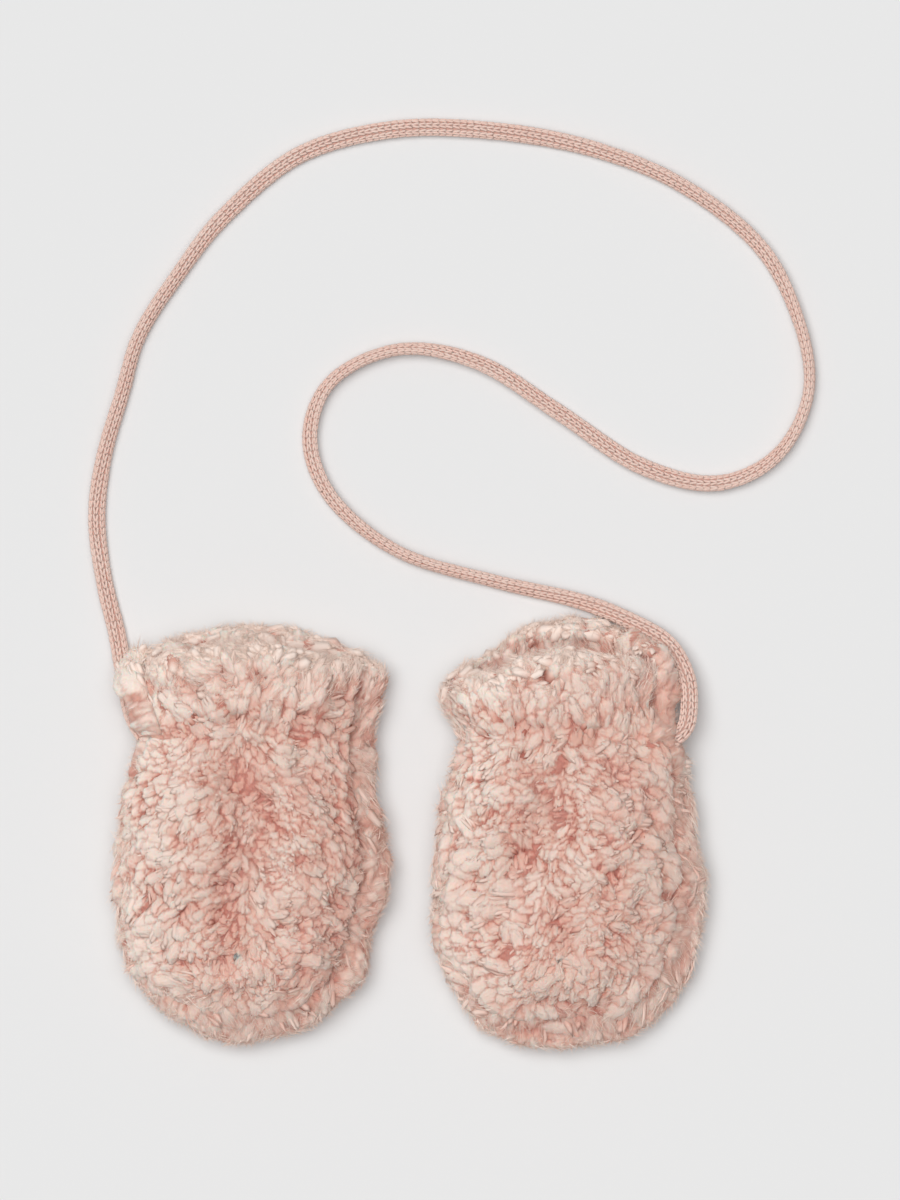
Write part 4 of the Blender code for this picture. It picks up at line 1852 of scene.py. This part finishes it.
    def shade(self, places: np.ndarray, normals: np.ndarray) -> np.ndarray:
        """How much painted shade each place takes, from 0 to 1, as deep as it lies in a hollow.

        Args:
            places: Places on the surface.
            normals: The normals there.

        Returns:
            The share of the directions round each normal that are closed in, near by, as painted
            shade, with more in the valley and at partings, and changed by the covers.
        """
        rays, tilt, far = 8, 0.95, 14 * MM
        turns = np.arange(rays) * 2 * math.pi / rays
        trees = [panel.surface.tree for panel in self.mitten.panels]
        found = np.zeros(len(places))
        sides = unit(np.cross(normals, (0.31, 0.87, 0.38)))
        others = np.cross(normals, sides)
        starts = places + normals * 0.4 * MM
        for turn in turns:
            rays_out = normals * math.cos(tilt) + math.sin(tilt) * (sides * math.cos(turn) + others * math.sin(turn))
            for index, (start, ray) in enumerate(zip(starts, rays_out)):
                if any(tree.ray_cast(Vector(start), Vector(ray), far)[0] for tree in trees):
                    found[index] += 1.0 / rays
        # Painted shade: closed-in places, the valley, the partings and the covers.
        found = 0.6 * found + 0.12 * self.nest(places)
        for parting in self.mitten.partings:
            found += self.parting_shade * parting.nearness(places)[1]
        for cover in self.mitten.covers:
            found += cover.shade * cover.nearness(self.mitten.cord, places)
        return np.clip(found, 0.0, 1.0)

    def grow(self, heap: Heap, form: LockForm, tufts: Tufts, places: np.ndarray, normals: np.ndarray) -> None:
        """Grows locks of one kind.

        Args:
            heap: The pile's heap.
            form: The kind.
            tufts: The tufts they gather into.
            places: The places of the locks, on the solid's surface.
            normals: The normals there.
        """
        rng, count = self.rng, len(places)
        if not count:
            return
        tuft, height, _ = tufts.swell(places)
        brushed, relief = self.brushed(places, normals)[:, None], self.relief(places)[:, None]
        lean = tufts.lean[tuft] + form.stray * rng.normal(0.0, 1.0, (count, 3))
        lean = unit(lean - normals * (lean * normals).sum(axis=1, keepdims=True))
        bulk = tufts.bulk[tuft][:, None]
        length = rng.uniform(*form.length, (count, 1)) * bulk * (1 + 0.35 * brushed)
        width = rng.uniform(*form.width, (count, 1)) * bulk * (1 + 0.2 * brushed)
        settle = self.mitten.skin.settle
        aim, aim_normals = settle(places + lean * length * (1 - form.back))
        stand = height[:, None] + relief - self.ground_inset
        tip = aim + aim_normals * (rng.uniform(*form.proud, (count, 1)) + stand)
        pull = form.pull * tufts.grip[tuft] * (1 - 0.5 * brushed)
        tip += (tufts.tips[tuft] - aim_normals * self.ground_inset - tip) * np.minimum(pull, 0.95)
        base, base_normals = settle(places - lean * length * form.back)
        root = base - base_normals * (form.depth - np.minimum(relief, 0.0))
        knee = places + normals * (stand + form.bow)
        curl = unit(np.cross(normals, lean)) * (tufts.curl[tuft] + rng.normal(0.0, 0.06, (count, 1))) * length
        clear = self.mitten.cord.clears(np.stack([knee + curl, tip], axis=1), width[:, 0])
        # Painted shade from the tuft and painted light in pale, with a tint partly at random.
        values = {
            "shade": tufts.shade[tuft],
            "pale": form.pale + self.glow(places, normals),
            "tint": 0.6 * tufts.tint[tuft] + 0.4 * rng.random(count),
        }
        values = {name: value[clear] for name, value in values.items()}
        self.bend(heap, form, (root[clear], (knee + curl)[clear], tip[clear]), normals[clear], width[clear], values)

    def glow(self, places: np.ndarray, normals: np.ndarray) -> np.ndarray:
        """How much painted light pales the pile, in place of the light that comes through it: most on the
        sides that face the light, more at the cuff, the left, the bottom and the rims, and less where a
        cover is painted deeper, with pale spots at random.

        Args:
            places: Where.
            normals: The surface's normals there.

        Returns:
            A number for each place.
        """
        # Painted light: paler on the sides facing the light, at the cuff, the left, the bottom and the rims.
        lit = np.clip(-0.75 * normals[:, 0] + 0.45 * normals[:, 1] + 0.1, 0.0, 1.0)
        cuff = ramp(3 * MM, 15 * MM, places[:, 1] - self.mitten.wrist_y) * ramp(0.9, 0.1, normals[:, 0])
        left = ramp(-8 * MM, -34 * MM, places[:, 0] - self.mitten.axis_x)
        low = ramp(-34 * MM, -58 * MM, places[:, 1])
        rim = ramp(7 * MM, 1 * MM, self.below_rim(places))
        rim *= 0.7 if self.side is Side.UNDER else self.mitten.front_rim
        found = 0.8 * lit + 0.4 * cuff + 0.2 * left + 0.2 * low + rim
        for cover in self.mitten.covers:
            found -= 0.5 * cover.shade * cover.nearness(self.mitten.cord, places)
        return found + PALE_SPOTS.numbers(places)

    def below_rim(self, places: np.ndarray) -> np.ndarray:
        """How far below the cuff's rim each place is.

        Args:
            places: Where.

        Returns:
            A length for each place.
        """
        slices = np.linspace(-44 * MM, 44 * MM, 23) + self.mitten.axis_x
        x, y = self.surface.points[:, 0], self.surface.points[:, 1]
        rim = [y[np.abs(x - middle) < 2.5 * MM].max(initial=0.0) for middle in slices]
        return np.interp(places[:, 0], slices, rim) - places[:, 1]

    def bend(
        self,
        heap: Heap,
        form: LockForm,
        curve: tuple[np.ndarray, np.ndarray, np.ndarray],
        normals: np.ndarray,
        width: np.ndarray,
        values: dict[str, np.ndarray],
    ) -> None:
        """Bends a copy of the lock along each curve.

        Args:
            heap: The pile's heap.
            form: The kind of lock.
            curve: Where each lock starts, where it turns over, and where it ends.
            normals: The surface's normals.
            width: Its width at its widest.
            values: Attribute values of each lock.
        """
        rng, count = self.rng, len(normals)
        root, knee, tip = (points[:, None] for points in curve)
        template = Template.lock(form.sides, form.rings)
        local = template.points[None]
        s = local[..., 2:3]
        middle = (1 - s) ** 2 * root + 2 * s * (1 - s) * knee + s**2 * tip
        forward = unit(2 * (1 - s) * (knee - root) + 2 * s * (tip - knee) + 1e-9)
        across = unit(np.cross(normals[:, None], forward) + 1e-9)
        over = np.cross(forward, across)
        skew = rng.uniform(1.1, 1.9, (count, 1, 1))
        blunt = rng.uniform(*form.blunt, (count, 1, 1))
        swell = np.sin(math.pi * np.clip(0.14 + 0.86 * s**skew, 0.0, 1.0)) ** blunt
        swell = np.where(s > 0.999, 0.0, swell)
        angle = np.arctan2(local[..., 1], local[..., 0])
        side = np.round(angle / (2 * math.pi) * form.sides).astype(int) % form.sides
        ridges = rng.uniform(0.85, 1.12, (count, form.sides))
        ridge = np.take_along_axis(ridges, np.broadcast_to(side, (count, side.shape[1])), axis=1)[..., None]
        half = width[:, None] / 2 * swell * ridge
        placed = middle + local[..., 0:1] * half * across + local[..., 1:2] * half * form.flatness * over
        size = placed.shape[:2]
        spread = {name: np.broadcast_to(value[:, None], size) for name, value in values.items()}
        # Painted shade: each lock is darker towards its root and on its underside.
        top = (0.5 + 0.5 * local[..., 1]) ** 1.4
        spread["rise"] = np.broadcast_to(s[..., 0] ** 0.6 * (1 - 0.4 * form.under * (1 - top)), size)
        spread["grain"] = np.broadcast_to(local * (1.5, 1.1, 5.0), placed.shape) + rng.random((count, 1, 3)) * 60
        heap.add(template, placed, spread, smooth=form.sides > 4)

    def spread(self, form: LockForm, chosen: np.ndarray, share: float, most: float) -> tuple[np.ndarray, np.ndarray]:
        """Chooses places for a kind of lock that is thicker where the pile is brushed.

        Args:
            form: The kind.
            chosen: Which triangles.
            share: The share of the places kept where nothing is brushed. Below zero, places are
                kept only where the pile is brushed enough.
            most: The share kept where all is brushed.

        Returns:
            The places and the normals.
        """
        places, normals = self.surface.scatter(chosen, form.spacing, self.rng, loose=True)
        keep = self.rng.random(len(places)) < share + (most - share) * self.brushed(places, normals)
        return places[keep], normals[keep]

    def build(self) -> None:
        surface = self.surface
        outside = np.flatnonzero(surface.outside)
        centres = surface.points[surface.triangles].mean(axis=1)
        lined = np.flatnonzero(~surface.outside & (centres[:, 1] > self.mitten.wrist_y + self.lining_start))
        outer, lining = Tufts(self, outside, True), Tufts(self, lined, False)
        heap = Heap()
        pressed = centres[outside, 2] <= self.pressed_height
        shown, below = outside[~pressed], outside[pressed]
        fine = shown if self.side is Side.UPPER else np.concatenate([shown, lined])
        backing = self.build_backing(outer, lining, fine)
        fuzz = -0.6 if self.side is Side.UPPER else -4.0
        for form, share, most in ((STRAND, 0.14, 0.0), (WISP, 0.14, 0.12), (FIBRE, 0.1, 0.3), (FUZZ, fuzz, 1.0)):
            self.grow(heap, form, outer, *self.spread(form, shown, share, most))
        rims = outside[self.below_rim(centres[outside]) < self.rim_depth]
        for form in (RIM_LOCK, RIM_FUZZ):
            self.grow(heap, form, outer, *surface.scatter(rims, form.spacing, self.rng, loose=True))
        if len(below):
            self.grow(heap, PRESSED, outer, *surface.scatter(below, PRESSED.spacing, self.rng))
        name = f"{self.mitten.name}_{self.side.value}_pile"
        pile = add_piece(heap.build(name), self.mitten.pile_material)


@dataclass
class FleeceMitten:
    """One mitten: two panels of fleece and the elastic in its wrist.

    The valley is the line down the hand, from the wrist, from which the pile falls to both sides,
    in millimetres. Cuff_brushed is how soft the cuff's pile is, front_rim how much painted light
    pales the upper panel's rim, side_shade how much painted shade darkens the right side, away from
    the light, and right_fill how far the pile bridges the seam there, all as shares. The covers are
    where it swells over the cord.
    """

    name: str
    axis_x: float
    wrist_y: float
    valley: tuple[tuple[float, float], ...]
    cuff_brushed: float
    seed: int
    cord: NeckCord
    pile_material: bpy.types.Material
    fleece_material: bpy.types.Material
    elastic_material: bpy.types.Material
    partings: tuple[Parting, ...]
    covers: tuple[Cover, ...]
    # front_rim paints light on the rim, and side_shade paints shade on the right side.
    front_rim: float
    side_shade: float
    right_fill: float
    panels: list[FleecePanel] = field(default_factory=list)
    skin: Skin | None = None
    outsides: dict[Side, BVHTree] = field(default_factory=dict)

    def nubs(self, places: np.ndarray) -> np.ndarray:
        """How much larger the tufts are on the side towards the light.

        Args:
            places: Where.

        Returns:
            What is added to the tufts' size.
        """
        return 0.35 * ramp(-12 * MM, -26 * MM, places[:, 0] - self.axis_x) * ramp(12 * MM, 0.0, places[:, 1])

    def valley_x(self, y: np.ndarray) -> np.ndarray:
        """Where the valley is.

        Args:
            y: Places up the hand.

        Returns:
            How far across it the valley is at each of them.
        """
        rows = np.array(sorted((b, a) for a, b in self.valley)) * MM
        return np.interp(y, rows[:, 0], rows[:, 1])

    def build(self) -> None:
        """Builds the panels, and dresses the elastic."""
        self.panels.append(FleecePanel(self, Side.UNDER, (0.090, 0.132), 0.0100, self.seed))
        self.panels.append(FleecePanel(self, Side.UPPER, (0.078, 0.115), 0.0077, self.seed + 1))
        surfaces = [panel.surface for panel in self.panels]
        for surface in surfaces:
            surface.look_round([other.tree for other in surfaces])
        self.skin = Skin(surfaces)
        self.outsides = {panel.side: Skin([panel.surface]).tree for panel in self.panels}
        for panel in self.panels:
            panel.build()
        elastic = frame_nodes()[f"{self.name}_wrist_elastic"]
        elastic.data.materials.clear()
        elastic.data.materials.append(self.elastic_material)


LEFT_VALLEY = ((-50.0, 24.0), (-49.4, 19.8), (-44.6, 9.6), (-46.4, 1.8), (-49.4, -11.4), (-50.3, -26.7), (-51.2, -41.7))
RIGHT_VALLEY = ((44.7, 24.0), (44.7, 20.8), (44.7, 7.5), (43.0, -0.6), (40.0, -14.0), (40.0, -40.0))

LEFT_PARTINGS = (
    Parting(-85.1, 40.3, -74.2, 42.6),
    Parting(-67.7, 30.6, -64.8, 35.2),
    Parting(-56.0, 36.0, -50.3, 34.5),
    Parting(-56.0, 47.6, -51.7, 43.2),
    Parting(-72.5, 50.4, -71.0, 50.8),
    Parting(-35.0, 30.9, -32.8, 34.5),
    Parting(-53.9, 17.8, -45.9, 15.0, 3.0),
    Parting(-44.4, 10.5, -43.0, 4.8),
    Parting(-45.9, 1.8, -44.4, -2.6),
    Parting(-62.6, -11.3, -60.5, -12.3),
    Parting(-56.8, -15.6, -53.2, -14.1),
    Parting(-56.5, -21.5, -55.5, -21.8),
    Parting(-79.3, -18.5, -72.8, -19.2),
    Parting(-69.1, -23.7, -66.2, -22.2),
    Parting(-35.0, -6.9, -34.3, -8.4),
    Parting(-34.3, -28.0, -33.5, -42.6),
    Parting(-57.5, -38.0, -55.3, -36.6),
    Parting(-69.0, -1.0, -67.7, -1.8),
)

RIGHT_PARTINGS = (
    Parting(39.4, 48.0, 45.0, 45.6),
    Parting(29.7, 32.7, 38.6, 31.9),
    Parting(49.8, 31.9, 56.3, 31.2),
    Parting(59.5, 21.6, 62.7, 18.3, 2.8),
    Parting(43.4, 7.0, 46.6, -0.9, 3.0),
    Parting(31.6, -5.9, 32.8, -5.9, 2.6),
    Parting(18.5, -13.8, 20.0, -16.2),
    Parting(43.4, -24.3, 47.4, -30.0),
    Parting(59.5, -11.4, 63.5, -11.4),
    Parting(70.7, 4.6, 71.5, 7.0),
    Parting(75.5, -13.0, 76.3, -17.9),
    Parting(67.5, 0.6, 68.3, -1.8),
    Parting(25.7, -25.9, 25.7, -30.0),
    Parting(41.8, -53.2, 59.5, -50.0),
)


LEFT_COVERS = (Cover(0.0, 24.0, 6.2, (17.0, 38.0), -0.8),)
RIGHT_COVERS = (Cover(-42.0, -6.0, 4.6, (18.0, 32.0), 0.4), Cover(-7.0, 0.0, 4.6, (10.0, 26.0)))


def main() -> None:
    """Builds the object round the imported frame."""
    logging.basicConfig(level=logging.INFO, format="%(message)s")
    noise.seed_set(NOISE_SEED)
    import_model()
    Studio().build()
    cord = NeckCord()
    cord.build()
    shared = {
        "cord": cord,
        "pile_material": PileFinish().build(),
        "fleece_material": PileFinish(name="Pale pink fleece", across=2.1, bump=0.45 * MM, subsurface=0.75).build(),
        "elastic_material": ElasticFinish().build(),
    }
    left = FleeceMitten(
        name="left",
        axis_x=-48.1 * MM,
        wrist_y=28.5 * MM,
        valley=LEFT_VALLEY,
        partings=LEFT_PARTINGS,
        covers=LEFT_COVERS,
        cuff_brushed=0.8,
        front_rim=0.6,
        side_shade=0.3,
        right_fill=0.0,
        seed=100,
        **shared,
    )
    right = FleeceMitten(
        name="right",
        axis_x=47.9 * MM,
        wrist_y=27.9 * MM,
        valley=RIGHT_VALLEY,
        partings=RIGHT_PARTINGS,
        covers=RIGHT_COVERS,
        cuff_brushed=0.55,
        front_rim=0.0,
        side_shade=-0.1,
        right_fill=0.9,
        seed=200,
        **shared,
    )
    for mitten in (left, right):
        mitten.build()


if __name__ == "__main__":
    main()
